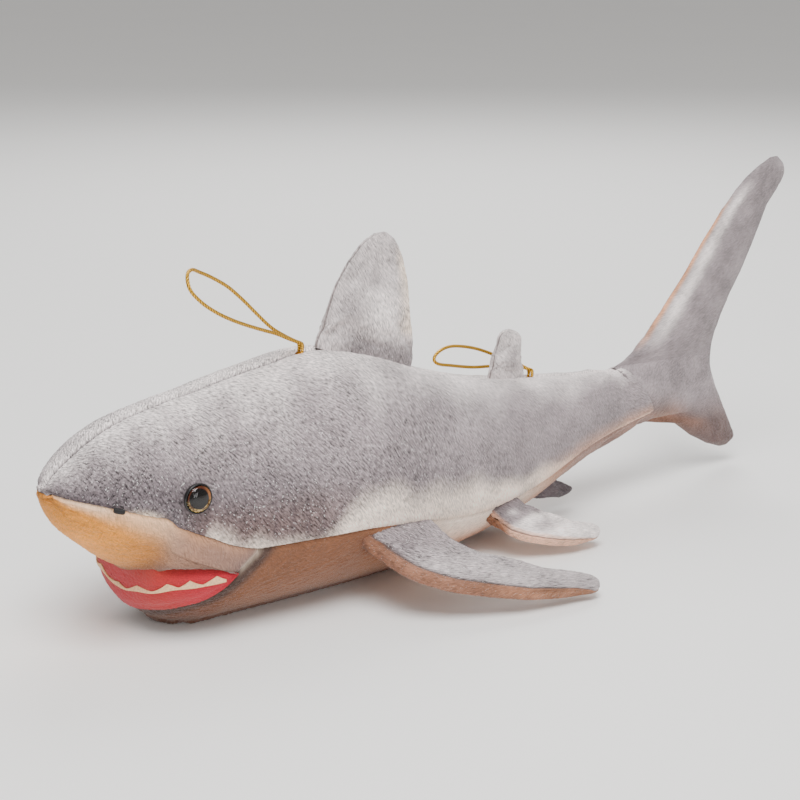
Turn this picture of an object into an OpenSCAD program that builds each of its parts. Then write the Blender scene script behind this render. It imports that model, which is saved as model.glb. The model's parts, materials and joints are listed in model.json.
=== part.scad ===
// Plush shark, lying on its belly: nose to -X, back to +Z, its left side to -Y.
// The origin is on the floor, under the middle of the whole animal.
// Every fabric panel is a thin shell, with the stuffing a separate solid inside it.

/* [Body] */
// Nose tip to the tip of the tail fin
total_len = 560; // [450:1:700]
// Nose tip to the root of the tail fin
body_len = 440; // [360:1:480]
// Greatest width across the flanks
body_w = 128; // [100:1:160]
// Height of the back in front of the first dorsal fin
body_h = 137; // [110:1:170]

/* [Fabric] */
// Thickness of the plush fabric and its backing
fabric = 2; // [1.2:0.1:2.6]
// Width of the groove where two panels are sewn together
seam_gap = 0.8; // [0.4:0.1:2]
// Clearance between the stuffing and the fabric over it
fill_gap = 0.3; // [0.2:0.1:1]
// Clearance between two pieces that move against each other
move_gap = 1.2; // [0.8:0.1:3]

/* [Mouth] */
// Depth of the sewn mouth pocket behind the lips
mouth_depth = 9; // [5:0.5:12]
// Height of a felt tooth
tooth_h = 4.5; // [3:0.5:6]
// Number of teeth on each side
tooth_pairs = 5; // [3:1:9]
// Thickness of the felt
felt = 1; // [0.8:0.1:1.6]

/* [Eyes] */
// Diameter of a safety eye
eye_d = 16; // [12:0.5:20]
// Height of the clear dome
dome_h = 5; // [3:0.5:7]
// Diameter of the shank behind the eye
shank_d = 4; // [3:0.25:5]
// Length of the shank, from the back of the eye
shank_len = 12; // [9:0.5:16]
// Diameter of the lock washer
washer_d = 15; // [12:0.5:20]

/* [First dorsal fin] */
// Length of its sewn root
dorsal_base = 68; // [50:1:80]
// Height above the back
dorsal_h = 67; // [45:1:85]
// Greatest thickness
dorsal_t = 16; // [10:0.5:20]

/* [Second dorsal fin] */
// Length of its sewn root
dorsal2_base = 26; // [20:1:34]
// Height above the back
dorsal2_h = 27; // [18:1:36]
// Greatest thickness
dorsal2_t = 10; // [7:0.5:13]

/* [Pectoral fins] */
// Length of the sewn root
pectoral_base = 52; // [40:1:60]
// Reach from the root, measured straight out
pectoral_span = 79; // [60:1:95]
// Greatest thickness
pectoral_t = 13; // [9:0.5:16]

/* [Pelvic fins] */
// Length of the sewn root
pelvic_base = 30; // [24:1:36]
// Reach from the root, measured straight out
pelvic_span = 43; // [34:1:52]
// Greatest thickness
pelvic_t = 11; // [8:0.5:13]

/* [Anal fin] */
// Length of its sewn root
anal_base = 24; // [18:1:28]
// Reach below the belly
anal_h = 20; // [12:1:24]
// Greatest thickness
anal_t = 8; // [6:0.5:10]

/* [Tail fin] */
// Height from the tip of the lower lobe to the tip of the upper lobe
caudal_h = 195; // [150:1:230]
// Greatest thickness
caudal_t = 17; // [12:0.5:20]

/* [Hanging loops] */
// Thickness of the gold cord
cord_d = 2; // [1.5:0.1:2.5]
// Diameter of the knot that holds each loop inside the back
knot_d = 7; // [5:0.5:9]

/* [Hidden] */

grey = "#A89E9C";
pale_grey = "#CFC6C3";
cream = "#E3CDB8";
pink = "#D2566A";
felt_cream = "#EBD9C4";
fibre = "#F2F0EC";
black = "#191415";
gold = "#C99A2E";
clear = "#D8E4EA";

nose_x = -total_len / 2;
// How far below the panels' inner faces the stuffing starts: the clearance, and the sag of flat facets
FACET_SAG = 0.9;
fill_inset = fabric + fill_gap + FACET_SAG;

// The body is a row of sections. Each is a chord from a point on the back line to a point on the belly
// line, with the widest place part of the way down it. Lengths are percent of body_len, heights are
// percent of body_h and half-widths are percent of body_w / 2:
// [back along, back height, belly along, belly height, share of the chord to the widest place, width]
SECTIONS = [
    [0, 63.2, 0, 62.4, 0.50, 0],
    [0.6, 67.5, 0.3, 57.7, 0.50, 15],
    [2, 72, 0.9, 51, 0.50, 29],
    [4.3, 77, 2, 45.3, 0.50, 42],
    [7, 82, 4.1, 38.7, 0.50, 53],
    [10, 85.8, 6.8, 31, 0.50, 62],
    [12.7, 88, 9.5, 24, 0.50, 68],
    [15, 89.4, 10.2, 11.7, 0.50, 73.5],
    [17.5, 90.9, 13, 2.5, 0.50, 79],
    [20.7, 92.3, 17.3, -2, 0.52, 84.5],
    [24.5, 94.5, 22.7, -2.2, 0.54, 90],
    [30.7, 97.4, 30.7, -2.2, 0.55, 97],
    [38.6, 100, 38.6, -2.2, 0.55, 100],
    [46.6, 94.2, 46.6, -2.2, 0.54, 95.3],
    [55.7, 82.8, 55.7, -1.5, 0.53, 83.6],
    [64.8, 74.1, 64.8, 1.5, 0.52, 69.5],
    [73.9, 69.3, 73.9, 8.8, 0.50, 54.7],
    [83, 65.7, 83, 20.8, 0.50, 40.6],
    [89.5, 63.3, 91, 27.5, 0.50, 29.5],
    [93.6, 61.6, 99.5, 33, 0.50, 23]];
FIRST = 0.3;
LAST = len(SECTIONS) - 1;

// Where the mouth and the seams run. u counts sections from the nose and a is the angle down from the
// back seam: 0 on the back, 90 at the widest place, 180 under the belly.
U_LIP = 6;           // middle of the upper lip
U_CORNER = 9.3;      // corner of the mouth
A_CORNER = 111;
U_JOIN = 9.8;        // where the snout, side and belly panels meet
A_JOIN = 99.5;
U_CHIN = 7.2;        // middle of the lower lip
A_TAIL_SEAM = 128;   // the side seam's angle at the tail

// A curve through the rows of a table, at any share between two rows
function before(t, i) = i < 0 ? 2 * t[0] - t[1] : t[i];
function after(t, i) = i > len(t) - 1 ? 2 * t[len(t) - 1] - t[len(t) - 2] : t[i];
function spline(t, u) =
    let (i = max(0, min(len(t) - 2, floor(u))), f = u - i,
        p0 = before(t, i - 1), p1 = t[i], p2 = t[i + 1], p3 = after(t, i + 2))
    0.5 * (2 * p1 + (p2 - p0) * f + (2 * p0 - 5 * p1 + 4 * p2 - p3) * f * f
        + (3 * p1 - p0 - 3 * p2 + p3) * f * f * f);
function mix(a, b, t) = a + (b - a) * t;
function ease(t) = let (c = max(0, min(1, t))) c * c * (3 - 2 * c);
function grow(v, p) = v <= 0 ? 0 : pow(v, p);
function section(u) = let (r = spline(SECTIONS, u))
    [nose_x + r[0] * body_len / 100, r[1] * body_h / 100, nose_x + r[2] * body_len / 100,
        r[3] * body_h / 100, r[4], r[5] * body_w / 200];

// A point on the body at section u and angle a, moved inwards by inset; a below 0 is the right side
function skin(u, a, inset = 0) =
    let (r = section(u), top = [r[0], 0, r[1]], low = [r[2], 0, r[3]],
        c = top + (low - top) * r[4], up = cos(a) > 0, reach = up ? top - c : low - c,
        k = max(0.05, 1 - inset / max(0.1, norm(reach))), w = max(0.05, r[5] - inset),
        f = up ? grow(cos(a), 0.96) : -cos(a),
        side = grow(abs(sin(a)), up ? 0.92 : 1) * sign(sin(a)),
        p = c + reach * k * f + [0, -w * side, 0])
    [p[0], p[1], max(p[2], inset)];

// The section whose back point is at place x
function u_at(x) = lookup(x, [for (u = [0:0.25:LAST]) [section(u)[0], u]]);

// Half a seam's groove as an angle at section u
function groove(u) = seam_gap / 2 / max(4, section(u)[5]) * 57.3;

// The snout seam drops from the nose to the join, and the side seam runs on from there to the tail
SNOUT_SEAM = [[0, 84], [2, 87], [4, 95], [5.7, 97], [6.5, 93.6], [7.4, 92.2], [8.4, 93.6], [U_JOIN, A_JOIN]];
function seam(u) = u <= U_JOIN ? lookup(u, SNOUT_SEAM)
    : mix(A_JOIN, A_TAIL_SEAM, ease((u - U_JOIN) / (LAST - U_JOIN)));

// The lips are curves from the middle, q = 0, round to the join, q = 1, each as [u, a]
Q_CORNER = 0.85;
UPPER_LIP = [[U_LIP, 180], [6.1, 150], [6.9, 122], [8, 111.5], [8.8, 109.5], [U_CORNER, A_CORNER]];
LOWER_LIP = [[U_CHIN, 180], [7.35, 157], [7.95, 139], [8.5, 130], [8.95, 121], [U_CORNER, A_CORNER]];
function lip(table, q) = q > Q_CORNER
    ? let (t = (q - Q_CORNER) / (1 - Q_CORNER)) [mix(U_CORNER, U_JOIN, t), mix(A_CORNER, A_JOIN, t)]
    : spline(table, q / Q_CORNER * (len(table) - 1));

// A closed shell between two grids of points that face each other
module shell_between(outer, inner) {
    n = len(outer);
    m = len(outer[0]);
    points = [for (row = outer) for (p = row) p, for (row = inner) for (p = row) p];
    k = n * m;
    faces = [
        for (i = [0:n - 2]) for (j = [0:m - 2])
            let (a = i * m + j, b = a + 1, c = a + m, d = c + 1)
            each [[a, b, d], [a, d, c], [k + a, k + d, k + b], [k + a, k + c, k + d]],
        for (i = [0:n - 2])
            let (a = i * m, c = a + m, b = a + m - 1, d = c + m - 1)
            each [[a, c, k + c], [a, k + c, k + a], [b, k + d, d], [b, k + b, k + d]],
        for (j = [0:m - 2])
            let (a = j, b = j + 1, c = (n - 1) * m + j, d = c + 1)
            each [[a, k + b, b], [a, k + a, k + b], [c, d, k + d], [c, k + d, k + c]]];
    polyhedron(points, faces, convexity = 6);
}

// A solid through a row of closed rings, capped at both ends
module loft(rings) {
    n = len(rings);
    m = len(rings[0]);
    function middle(ring) = [for (p = ring) 1] * ring / len(ring);
    points = [for (r = rings) for (p = r) p, middle(rings[0]), middle(rings[n - 1])];
    faces = [
        for (i = [0:n - 2]) for (j = [0:m - 1])
            let (a = i * m + j, b = i * m + (j + 1) % m, c = a + m, d = b + m)
            each [[a, b, d], [a, d, c]],
        for (j = [0:m - 1]) [n * m, (j + 1) % m, j],
        for (j = [0:m - 1]) [n * m + 1, (n - 1) * m + j, (n - 1) * m + (j + 1) % m]];
    polyhedron(points, faces, convexity = 6);
}

// --- The tail swings about an upright axis, inside a round cup in the back of the trunk
U_TAIL = 17.5;
tail_x = skin(U_TAIL, 0)[0];
tail_r = section(U_TAIL)[5] - fabric - 2 * fill_gap;
cup_r = tail_r + move_gap;
// The cup's rear edge stops this far ahead of the axis
cup_back = 9;
// Place along X of a round wall of radius r about the tail's axis, at distance y from the middle
function round_x(r, y) = tail_x - sqrt(max(0, r * r - y * y));

// A point of the trunk's last ring, which follows the cup, and of the tail's first, drawn up to the ball
function trunk_end(a, inset) =
    let (x = min(round_x(cup_r, skin(U_TAIL, a, inset)[1]), tail_x - cup_back),
        p = skin(u_at(x), a, inset))
    [x, p[1], p[2]];
function tail_start(u, a, inset) = let (p = skin(u, a, inset))
    [round_x(tail_r, p[1]), p[1], p[2]];

TRUNK_STEPS = [for (u = [FIRST, 0.6, 1, 1.5, 2, 3, 4, 5, 6, 7, 8, 9]) u,
    for (u = [10:0.5:16]) u, U_TAIL - 1.1];
SIDE_STEPS = 7;

module side_panel(side) {
    steps = [for (i = [0:len(TRUNK_STEPS)]) i];
    function spot(i, v, inset) =
        let (u = i < len(TRUNK_STEPS) ? TRUNK_STEPS[i] : U_TAIL - 0.3,
            a = mix(groove(u), seam(u) - groove(u), v))
        i < len(TRUNK_STEPS) ? skin(u, side * a, inset) : trunk_end(side * a, inset);
    outer = [for (i = steps) [for (v = [0:SIDE_STEPS]) spot(i, v / SIDE_STEPS, 0)]];
    inner = [for (i = steps) [for (v = [0:SIDE_STEPS]) spot(i, v / SIDE_STEPS, fabric)]];
    color(grey) difference() {
        if (side > 0) shell_between(inner, outer); else shell_between(outer, inner);
        eye_cut(side);
        for (root = [FRONT_ROOT, REAR_ROOT]) cord_hole(root);
    }
}

// The snout panel is two mirrored halves that share the middle line under the nose
function snout_spot(p, q, inset) =
    let (end = lip(UPPER_LIP, abs(q)), u0 = FIRST, u = mix(u0, end[0], p),
        h1 = (180 - end[1]) / (180 - seam(end[0])), h = abs(q) + p * (h1 - abs(q)),
        a = 180 - (180 - seam(u) - groove(u)) * h)
    skin(u, sign(q) * a, inset);
module snout_panel() color(cream) {
    P = [0, 0.06, 0.13, 0.22, 0.36, 0.52, 0.68, 0.84, 1];
    Q = [for (i = [-10:10]) i / 10];
    outer = [for (p = P) [for (q = Q) snout_spot(p, q == 0 ? 0.0001 : q, 0)]];
    inner = [for (p = P) [for (q = Q) snout_spot(p, q == 0 ? 0.0001 : q, fabric)]];
    shell_between(outer, inner);
}

// The belly panel runs from the lower lip to the tail, and is flat where it lies on the floor
function belly_spot(p, q, inset) =
    let (end = lip(LOWER_LIP, abs(q)), u = mix(end[0] + 0.06, U_TAIL - 0.6, p),
        h1 = (180 - end[1]) / (180 - seam(end[0])), h = mix(h1, abs(q), ease(p / 0.35)),
        a = 180 - (180 - seam(u) - groove(u)) * h)
    p < 1 ? skin(u, sign(q) * a, inset) : trunk_end(sign(q) * a, inset);
module belly_panel() color(cream) {
    P = [0, 0.04, 0.08, 0.12, 0.17, 0.22, 0.28, 0.34, 0.41, 0.48, 0.55, 0.62, 0.7, 0.78, 0.86, 0.94, 1];
    Q = [for (i = [-10:10]) i / 10];
    outer = [for (p = P) [for (q = Q) belly_spot(p, q == 0 ? 0.0001 : q, 0)]];
    inner = [for (p = P) [for (q = Q) belly_spot(p, q == 0 ? 0.0001 : q, fabric)]];
    shell_between(outer, inner);
}

// --- Mouth: the lining goes in from the upper lip to a fold, and comes out again to the lower lip
FOLD = 0.3;      // share of the way from lip to lip where the lining folds
CREST = 0.45;    // share where the mouth floor rises to the row of teeth
function mouth_spot(q, r, inset) =
    let (top = lip(UPPER_LIP, abs(q)), low = lip(LOWER_LIP, abs(q)), m = mix(top, low, r))
    skin(m[0], sign(q) * m[1], inset);
// How far behind the lips the lining lies, shallower towards the corners
function fade(q) = 1 - pow(abs(q) / Q_CORNER, 3);
lip_depth = fabric + fill_gap;
function palate_depth(q, t) = lip_depth + (mouth_depth - lip_depth) * fade(q) * sin(90 * t);
function floor_depth(q, t) =
    let (back = mouth_depth * fade(q), front = lip_depth + 0.6)
    t < CREST ? mix(max(front, back), front, ease(t / CREST)) : front;
MOUTH_Q = [for (i = [-9:9]) i / 9 * (Q_CORNER - 0.04)];
module palate_or_floor(r0, r1, depth_of) {
    R = [0, 0.25, 0.45, 0.7, 1];
    function spot(q, t, back) =
        mouth_spot(q == 0 ? 0.0001 : q, mix(r0, r1, t), depth_of(q, t) + back);
    outer = [for (t = R) [for (q = MOUTH_Q) spot(q, t, 0)]];
    inner = [for (t = R) [for (q = MOUTH_Q) spot(q, t, felt)]];
    shell_between(outer, inner);
}
module mouth_palate() color(pink)
    palate_or_floor(0.02, FOLD - 0.03, function (q, t) palate_depth(q, t));
module mouth_floor() color(pink)
    palate_or_floor(FOLD + 0.03, 0.97, function (q, t) floor_depth(q, t));

// Felt teeth stand on the crest of the mouth floor, one zigzag from corner to corner
module tooth_strip() {
    n = 4 * tooth_pairs;
    reach = Q_CORNER * 0.82;
    function rise(i) = i % 2 == 0 ? 0.8 : tooth_h;
    function foot(q, out) = mouth_spot(q, FOLD + (1 - FOLD) * CREST, out);
    outs = [lip_depth - 0.9 - felt, lip_depth - 0.9];
    rows = [for (d = outs) [for (lift = [0, 1]) [for (i = [0:n])
        let (q = (i / n * 2 - 1) * reach, s = q == 0 ? 0.0001 : q)
        foot(s, d) + [0, 0, 0.4 + lift * rise(i)]]]];
    color(felt_cream) shell_between([rows[1][0], rows[1][1]], [rows[0][0], rows[0][1]]);
}

// --- Stuffing fills the trunk, with a dent behind the mouth and a pocket behind each eye
function dent(u, a) =
    let (low = abs(a) > 90 ? 1 : 0, du = ease((u - 4.6) / 1.4) * ease((10.2 - u) / 1.2),
        da = ease((abs(a) - 96) / 12))
    low * du * da * (mouth_depth - fabric + felt + FACET_SAG);
module body_stuffing() color(fibre) {
    end_x = tail_x - cup_r - fill_gap;
    steps = [for (u = TRUNK_STEPS) if (u >= 1) u, u_at(end_x)];
    rings = [for (u = steps) [for (j = [27:-1:0]) let (a = (j + 0.5) * 360 / 28 - 180,
        p = skin(u, a, fill_inset + dent(u, a)))
        [min(p[0], end_x), p[1], p[2]]]];
    difference() {
        loft(rings);
        for (side = [-1, 1]) at_eye(side) {
            translate([0, 0, -shank_len - 1]) cylinder(d = shank_d + 1, h = 2 * shank_len);
            translate([0, 0, -washer_drop - washer_t - 1]) cylinder(d = washer_d + 1, h = shank_len);
        }
        for (root = [FRONT_ROOT, REAR_ROOT]) translate(root - [0, 0, fabric + knot_d + 1])
            cylinder(d = knot_d + 1, h = 2 * knot_d);
    }
}

// --- Tail: the same fabric carried on behind the hinge
TAIL_STEPS = [U_TAIL + 0.2, U_TAIL + 0.45, U_TAIL + 0.75, U_TAIL + 1.1, LAST - 0.1];
function tail_spot(i, v, a0, a1, side, inset) =
    let (u = i == 0 ? U_TAIL : TAIL_STEPS[i - 1], g = groove(u),
        a = side * mix(a0(u) + g, a1(u) - g, v))
    i == 0 ? tail_start(u, a, inset) : skin(u, a, inset);
TAIL_COLUMNS = 12;
module tail_panel(a0, a1, side) {
    steps = [for (i = [0:len(TAIL_STEPS)]) i];
    V = [for (i = [0:TAIL_COLUMNS]) i / TAIL_COLUMNS];
    outer = [for (i = steps) [for (v = V) tail_spot(i, v, a0, a1, side, 0)]];
    inner = [for (i = steps) [for (v = V) tail_spot(i, v, a0, a1, side, fabric)]];
    if (side > 0) shell_between(inner, outer); else shell_between(outer, inner);
}
module tail_left_panel() color(grey) tail_panel(function (u) 0, function (u) seam(u), 1);
module tail_right_panel() color(grey) tail_panel(function (u) 0, function (u) seam(u), -1);
module tail_lower_panel() color(cream)
    tail_panel(function (u) seam(u), function (u) 360 - seam(u), 1);
// The front of the tail's stuffing is a ball-ended cylinder about the hinge, cut to the body's section
module tail_stuffing() color(fibre) {
    inset = fill_inset;
    ball = [for (t = [15, 35, 55, 72]) let (x = tail_x - tail_r * cos(t), y = tail_r * sin(t))
        [for (j = [23:-1:0]) let (p = skin(U_TAIL, (j + 0.5) * 15 - 180, inset))
            [x, max(-y, min(y, p[1])), p[2]]]];
    rest = [for (u = [U_TAIL + 0.05, each TAIL_STEPS])
        [for (j = [23:-1:0]) skin(u, (j + 0.5) * 15 - 180, inset)]];
    loft([each ball, each rest]);
}

// --- Fins: rows across the span of [share of the reach, front edge, rear edge, half-thickness], with
// the edges as shares of the root and the thickness a share of half the greatest
DORSAL = [[0, 0, 1.03, 0.9], [0.21, 0, 0.98, 1], [0.46, 0.02, 0.88, 0.92], [0.66, 0.085, 0.79, 0.8],
    [0.84, 0.2, 0.645, 0.62], [0.96, 0.31, 0.53, 0.4], [1, 0.4, 0.44, 0.2]];
DORSAL2 = [[0, 0, 1.02, 0.9], [0.3, -0.02, 0.95, 1], [0.6, 0.03, 0.93, 0.95], [0.8, 0.12, 0.83, 0.8],
    [0.94, 0.26, 0.66, 0.5], [1, 0.42, 0.5, 0.25]];
PECTORAL = [[0, 0, 1, 0.8], [0.19, 0.02, 1.02, 1], [0.39, 0.12, 1.19, 1], [0.58, 0.38, 1.55, 0.95],
    [0.72, 0.76, 1.86, 0.9], [0.84, 1.15, 2.1, 0.82], [0.92, 1.56, 2.18, 0.7],
    [0.98, 1.9, 2.15, 0.45], [1, 2, 2.08, 0.2]];
PELVIC = [[0, 0, 1, 0.85], [0.32, 0.04, 1.3, 1], [0.55, 0.3, 1.6, 1], [0.73, 0.68, 1.87, 0.9],
    [0.89, 1.15, 2, 0.7], [1, 1.62, 1.92, 0.25]];
ANAL = [[0, 0, 1, 0.9], [0.3, 0.15, 1.15, 1], [0.6, 0.5, 1.38, 0.85], [0.85, 0.95, 1.5, 0.6],
    [1, 1.3, 1.48, 0.25]];

// A fin's frame: [front of the root, along the root, outwards, across, base, reach, half-thickness]
function unit(v) = v / norm(v);
function fin_frame(front, rear, out, base, reach, thick) =
    let (e1 = unit(rear - front), e2 = unit(out - (out * e1) * e1))
    [front, e1, e2, cross(e2, e1), base, reach, thick / 2];
// A root line on the body between sections u0 and u1 at angle a, raised clear of the skin between
function root_frame(u0, u1, a, out, base, reach, thick) =
    let (o = skin(u0, a), f = fin_frame(o, skin(u1, a), out, base, reach, thick),
        lift = max([for (t = [0:0.1:1]) (skin(mix(u0, u1, t), a) - o) * f[2]]))
    [o + f[2] * (lift + move_gap / 2), f[1], f[2], f[3], f[4], f[5], f[6]];

EDGE = 0.18;        // half-thickness left at a fin's edge, as a share of the middle's
// Half-thickness at share x of the chord in row r; the root is rounded about the hinge
function fin_half(f, r, x) =
    let (near = min(1, r[0] * f[5] / (r[3] * f[6])), root = sqrt(max(0, 1 - pow(1 - near, 2))))
    r[3] * f[6] * (EDGE + (1 - EDGE) * sqrt(max(0, 1 - pow(2 * x - 1, 2)))) * max(0.12, root);
function fin_point(f, r, x, h) =
    f[0] + f[1] * mix(r[1], r[2], x) * f[4] + f[2] * r[0] * f[5] + f[3] * h;
FIN_V = [0, 0.03, 0.07, 0.13, 0.24, 0.4, 0.56, 0.7, 0.81, 0.9, 0.96, 1];
FIN_X = [0, 0.05, 0.15, 0.3, 0.5, 0.7, 0.85, 0.95, 1];
function at_share(t, v) = spline(t, lookup(v, [for (i = [0:len(t) - 1]) [t[i][0], i]]));

// One half of a fin's cover: side is 1 for the face that looks along f[3], -1 for the other
module fin_panel(f, table, side) {
    rows = [for (v = FIN_V) at_share(table, v)];
    function h_out(r, x) = fin_half(f, r, x);
    function h_in(r, x) = max(fill_gap / 2, h_out(r, x) - fabric);
    outer = [for (r = rows) [for (x = FIN_X) fin_point(f, r, x, side * max(h_out(r, x), fill_gap))]];
    inner = [for (r = rows) [for (x = FIN_X) fin_point(f, r, x, side * min(h_in(r, x),
        max(h_out(r, x), fill_gap) - fill_gap / 2))]];
    if (side > 0) shell_between(outer, inner); else shell_between(inner, outer);
}
// Its stuffing, from share v0 to v1 of the reach and clear of both edges by share x0 of the chord
module fin_fill(f, table, v0, v1, x0) {
    V = [for (t = [0:0.2:1]) mix(v0, v1, t)];
    X = [for (t = [0:0.2:1]) mix(x0, 1 - x0, t)];
    function h(r, x) = fin_half(f, r, x) - fabric - fill_gap;
    rings = [for (v = V) let (r = at_share(table, v))
        [for (x = X) fin_point(f, r, x, h(r, x)),
            for (i = [len(X) - 1:-1:0]) fin_point(f, r, X[i], -h(r, X[i]))]];
    loft(rings);
}

U_D1 = [12.1, 13.9];
U_D2 = [15.4, 16.02];
dorsal_f = root_frame(U_D1[0], U_D1[1], 0, [0, 0, 1], dorsal_base, dorsal_h, dorsal_t);
dorsal2_f = root_frame(U_D2[0], U_D2[1], 0, [0, 0, 1], dorsal2_base, dorsal2_h, dorsal2_t);
anal_f = root_frame(16.15, 16.75, 180, [0, 0, -1], anal_base, anal_h, anal_t);
DROOP = 21;         // slope of the pectoral fins, down from the root to the tip
pectoral_f = root_frame(11.75, 13.2, 110, [0, -cos(DROOP), -sin(DROOP)], pectoral_base, pectoral_span,
    pectoral_t);
PELVIC_DROOP = 29;
pelvic_f = root_frame(14.55, 15.3, 122, [0, -cos(PELVIC_DROOP), -sin(PELVIC_DROOP)], pelvic_base,
    pelvic_span, pelvic_t);

module first_dorsal_left_panel() color(grey) fin_panel(dorsal_f, DORSAL, -1);
module first_dorsal_right_panel() color(grey) fin_panel(dorsal_f, DORSAL, 1);
module first_dorsal_stuffing() color(fibre) fin_fill(dorsal_f, DORSAL, 0.1, 0.8, 0.12);
module second_dorsal_left_panel() color(grey) fin_panel(dorsal2_f, DORSAL2, -1);
module second_dorsal_right_panel() color(grey) fin_panel(dorsal2_f, DORSAL2, 1);
module second_dorsal_stuffing() color(fibre) fin_fill(dorsal2_f, DORSAL2, 0.15, 0.7, 0.25);
module anal_left_panel() color(grey) fin_panel(anal_f, ANAL, 1);
module anal_right_panel() color(grey) fin_panel(anal_f, ANAL, -1);
module anal_stuffing() color(fibre) fin_fill(anal_f, ANAL, 0.25, 0.6, 0.34);
module left_pectoral_upper_panel() color(grey) fin_panel(pectoral_f, PECTORAL, 1);
module left_pectoral_lower_panel() color(cream) fin_panel(pectoral_f, PECTORAL, -1);
module left_pectoral_stuffing() color(fibre) fin_fill(pectoral_f, PECTORAL, 0.08, 0.88, 0.15);
module left_pelvic_upper_panel() color(pale_grey) fin_panel(pelvic_f, PELVIC, 1);
module left_pelvic_lower_panel() color(cream) fin_panel(pelvic_f, PELVIC, -1);
module left_pelvic_stuffing() color(fibre) fin_fill(pelvic_f, PELVIC, 0.15, 0.75, 0.2);
module right_pectoral_upper_panel() mirror([0, 1, 0]) left_pectoral_upper_panel();
module right_pectoral_lower_panel() mirror([0, 1, 0]) left_pectoral_lower_panel();
module right_pectoral_stuffing() mirror([0, 1, 0]) left_pectoral_stuffing();
module right_pelvic_upper_panel() mirror([0, 1, 0]) left_pelvic_upper_panel();
module right_pelvic_lower_panel() mirror([0, 1, 0]) left_pelvic_lower_panel();
module right_pelvic_stuffing() mirror([0, 1, 0]) left_pelvic_stuffing();

// --- Tail fin: rows from the tip of the lower lobe up to the tip of the upper lobe, as for the other
// fins. Its root is the slanting end of the tail, and it reaches back to total_len.
CAUDAL = [[0, 0.66, 0.71, 0.3], [0.025, 0.57, 0.75, 0.55], [0.07, 0.46, 0.725, 0.7],
    [0.135, 0.34, 0.68, 0.85], [0.169, 0.215, 0.655, 0.95], [0.23, 0.165, 0.61, 1],
    [0.308, 0.1, 0.57, 1], [0.37, 0.05, 0.57, 1], [0.41, 0.075, 0.58, 1], [0.45, 0.14, 0.6, 0.98],
    [0.528, 0.235, 0.655, 0.88], [0.631, 0.36, 0.745, 0.78], [0.738, 0.475, 0.825, 0.7],
    [0.841, 0.595, 0.895, 0.64], [0.9, 0.68, 0.965, 0.64], [0.94, 0.75, 1, 0.6],
    [0.975, 0.83, 0.99, 0.45], [1, 0.905, 0.955, 0.2]];
root_top = skin(LAST, 0);
root_low = skin(LAST, 180);
caudal_z = root_low[2] - 0.169 * caudal_h;
caudal_f = [[root_top[0], 0, caudal_z], [1, 0, 0], [0, 0, 1], [0, 1, 0], total_len / 2 - root_top[0],
    caudal_h, caudal_t / 2];
module caudal_panel(side) {
    f = caudal_f;
    outer = [for (r = CAUDAL) [for (x = FIN_X) fin_point(f, r, x, side * lobe_half(f, r, x))]];
    inner = [for (r = CAUDAL) [for (x = FIN_X)
        fin_point(f, r, x, side * max(fill_gap / 2, lobe_half(f, r, x) - fabric))]];
    if (side > 0) shell_between(outer, inner); else shell_between(inner, outer);
}
function lobe_half(f, r, x) = r[3] * f[6] * (EDGE + (1 - EDGE) * sqrt(max(0, 1 - pow(2 * x - 1, 2))));
module caudal_left_panel() color(grey) caudal_panel(-1);
module caudal_right_panel() color(grey) caudal_panel(1);
module caudal_stuffing() color(fibre) {
    rings = [for (i = [2:14]) let (r = CAUDAL[i])
        [for (x = [0.2:0.15:0.8]) fin_point(caudal_f, r, x, lobe_half(caudal_f, r, x) - fabric - fill_gap),
            for (x = [0.8:-0.15:0.2])
                fin_point(caudal_f, r, x, fabric + fill_gap - lobe_half(caudal_f, r, x))]];
    loft(rings);
}

// --- Safety eyes: a shell with its shank through the fabric, the iris, the dome and the lock washer
U_EYE = 7.5;
A_EYE = 74;
EYE_SLANT = 22;     // angle between the eye's rim and the fabric, which narrows towards the nose
eye_lip = 1.2;      // thickness of the shell's rim
washer_t = 1.2;
eye_stand = 1.2;    // how far the rim stands off the fabric at its middle
// The wider the body, the more its side curves away from the flat washer
washer_drop = eye_stand + fabric + washer_d / 2 * tan(EYE_SLANT) * max(1, body_w / 128) ^ 1.3 + fill_gap;
// The eye looks square to the animal's side
module at_eye(side) {
    p = skin(U_EYE, A_EYE);
    mirror([0, side > 0 ? 0 : 1, 0]) translate([p[0], p[1] - eye_stand, p[2]])
        rotate([90, 0, 0]) children();
}
// What the fabric leaves out for an eye: the hole for the shank, and the seat of the rim
module eye_cut(side) at_eye(side) {
    translate([0, 0, -shank_len]) cylinder(d = shank_d + 2 * fill_gap, h = 2 * shank_len);
    translate([0, 0, -fill_gap]) cylinder(d = eye_d + 2 * fill_gap, h = shank_len);
}
module eye_shell(side) color(black) at_eye(side) {
    cylinder(d = eye_d, h = eye_lip);
    translate([0, 0, -shank_len]) cylinder(d = shank_d, h = shank_len + eye_lip / 2);
}
module eye_iris(side) color(gold) at_eye(side) translate([0, 0, eye_lip])
    cylinder(d = eye_d - 1.2, h = 0.5);
module eye_dome(side) color(clear) at_eye(side) translate([0, 0, eye_lip + 0.5]) {
    r = (eye_d - 1.2) / 2;
    ball = (r * r + dome_h * dome_h) / (2 * dome_h);
    intersection() {
        translate([0, 0, dome_h - ball]) sphere(r = ball, $fn = 64);
        cylinder(r = r, h = dome_h);
    }
}
module eye_washer(side) color("white") at_eye(side) translate([0, 0, -washer_drop - washer_t])
    difference() {
        cylinder(d = washer_d, h = washer_t);
        translate([0, 0, -1]) cylinder(d = shank_d + 0.1, h = washer_t + 2);
    }
module left_side_panel() side_panel(1);
module right_side_panel() side_panel(-1);
module left_eye_shell() eye_shell(1);
module left_eye_iris() eye_iris(1);
module left_eye_dome() eye_dome(1);
module left_eye_washer() eye_washer(1);
module right_eye_shell() eye_shell(-1);
module right_eye_iris() eye_iris(-1);
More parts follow.
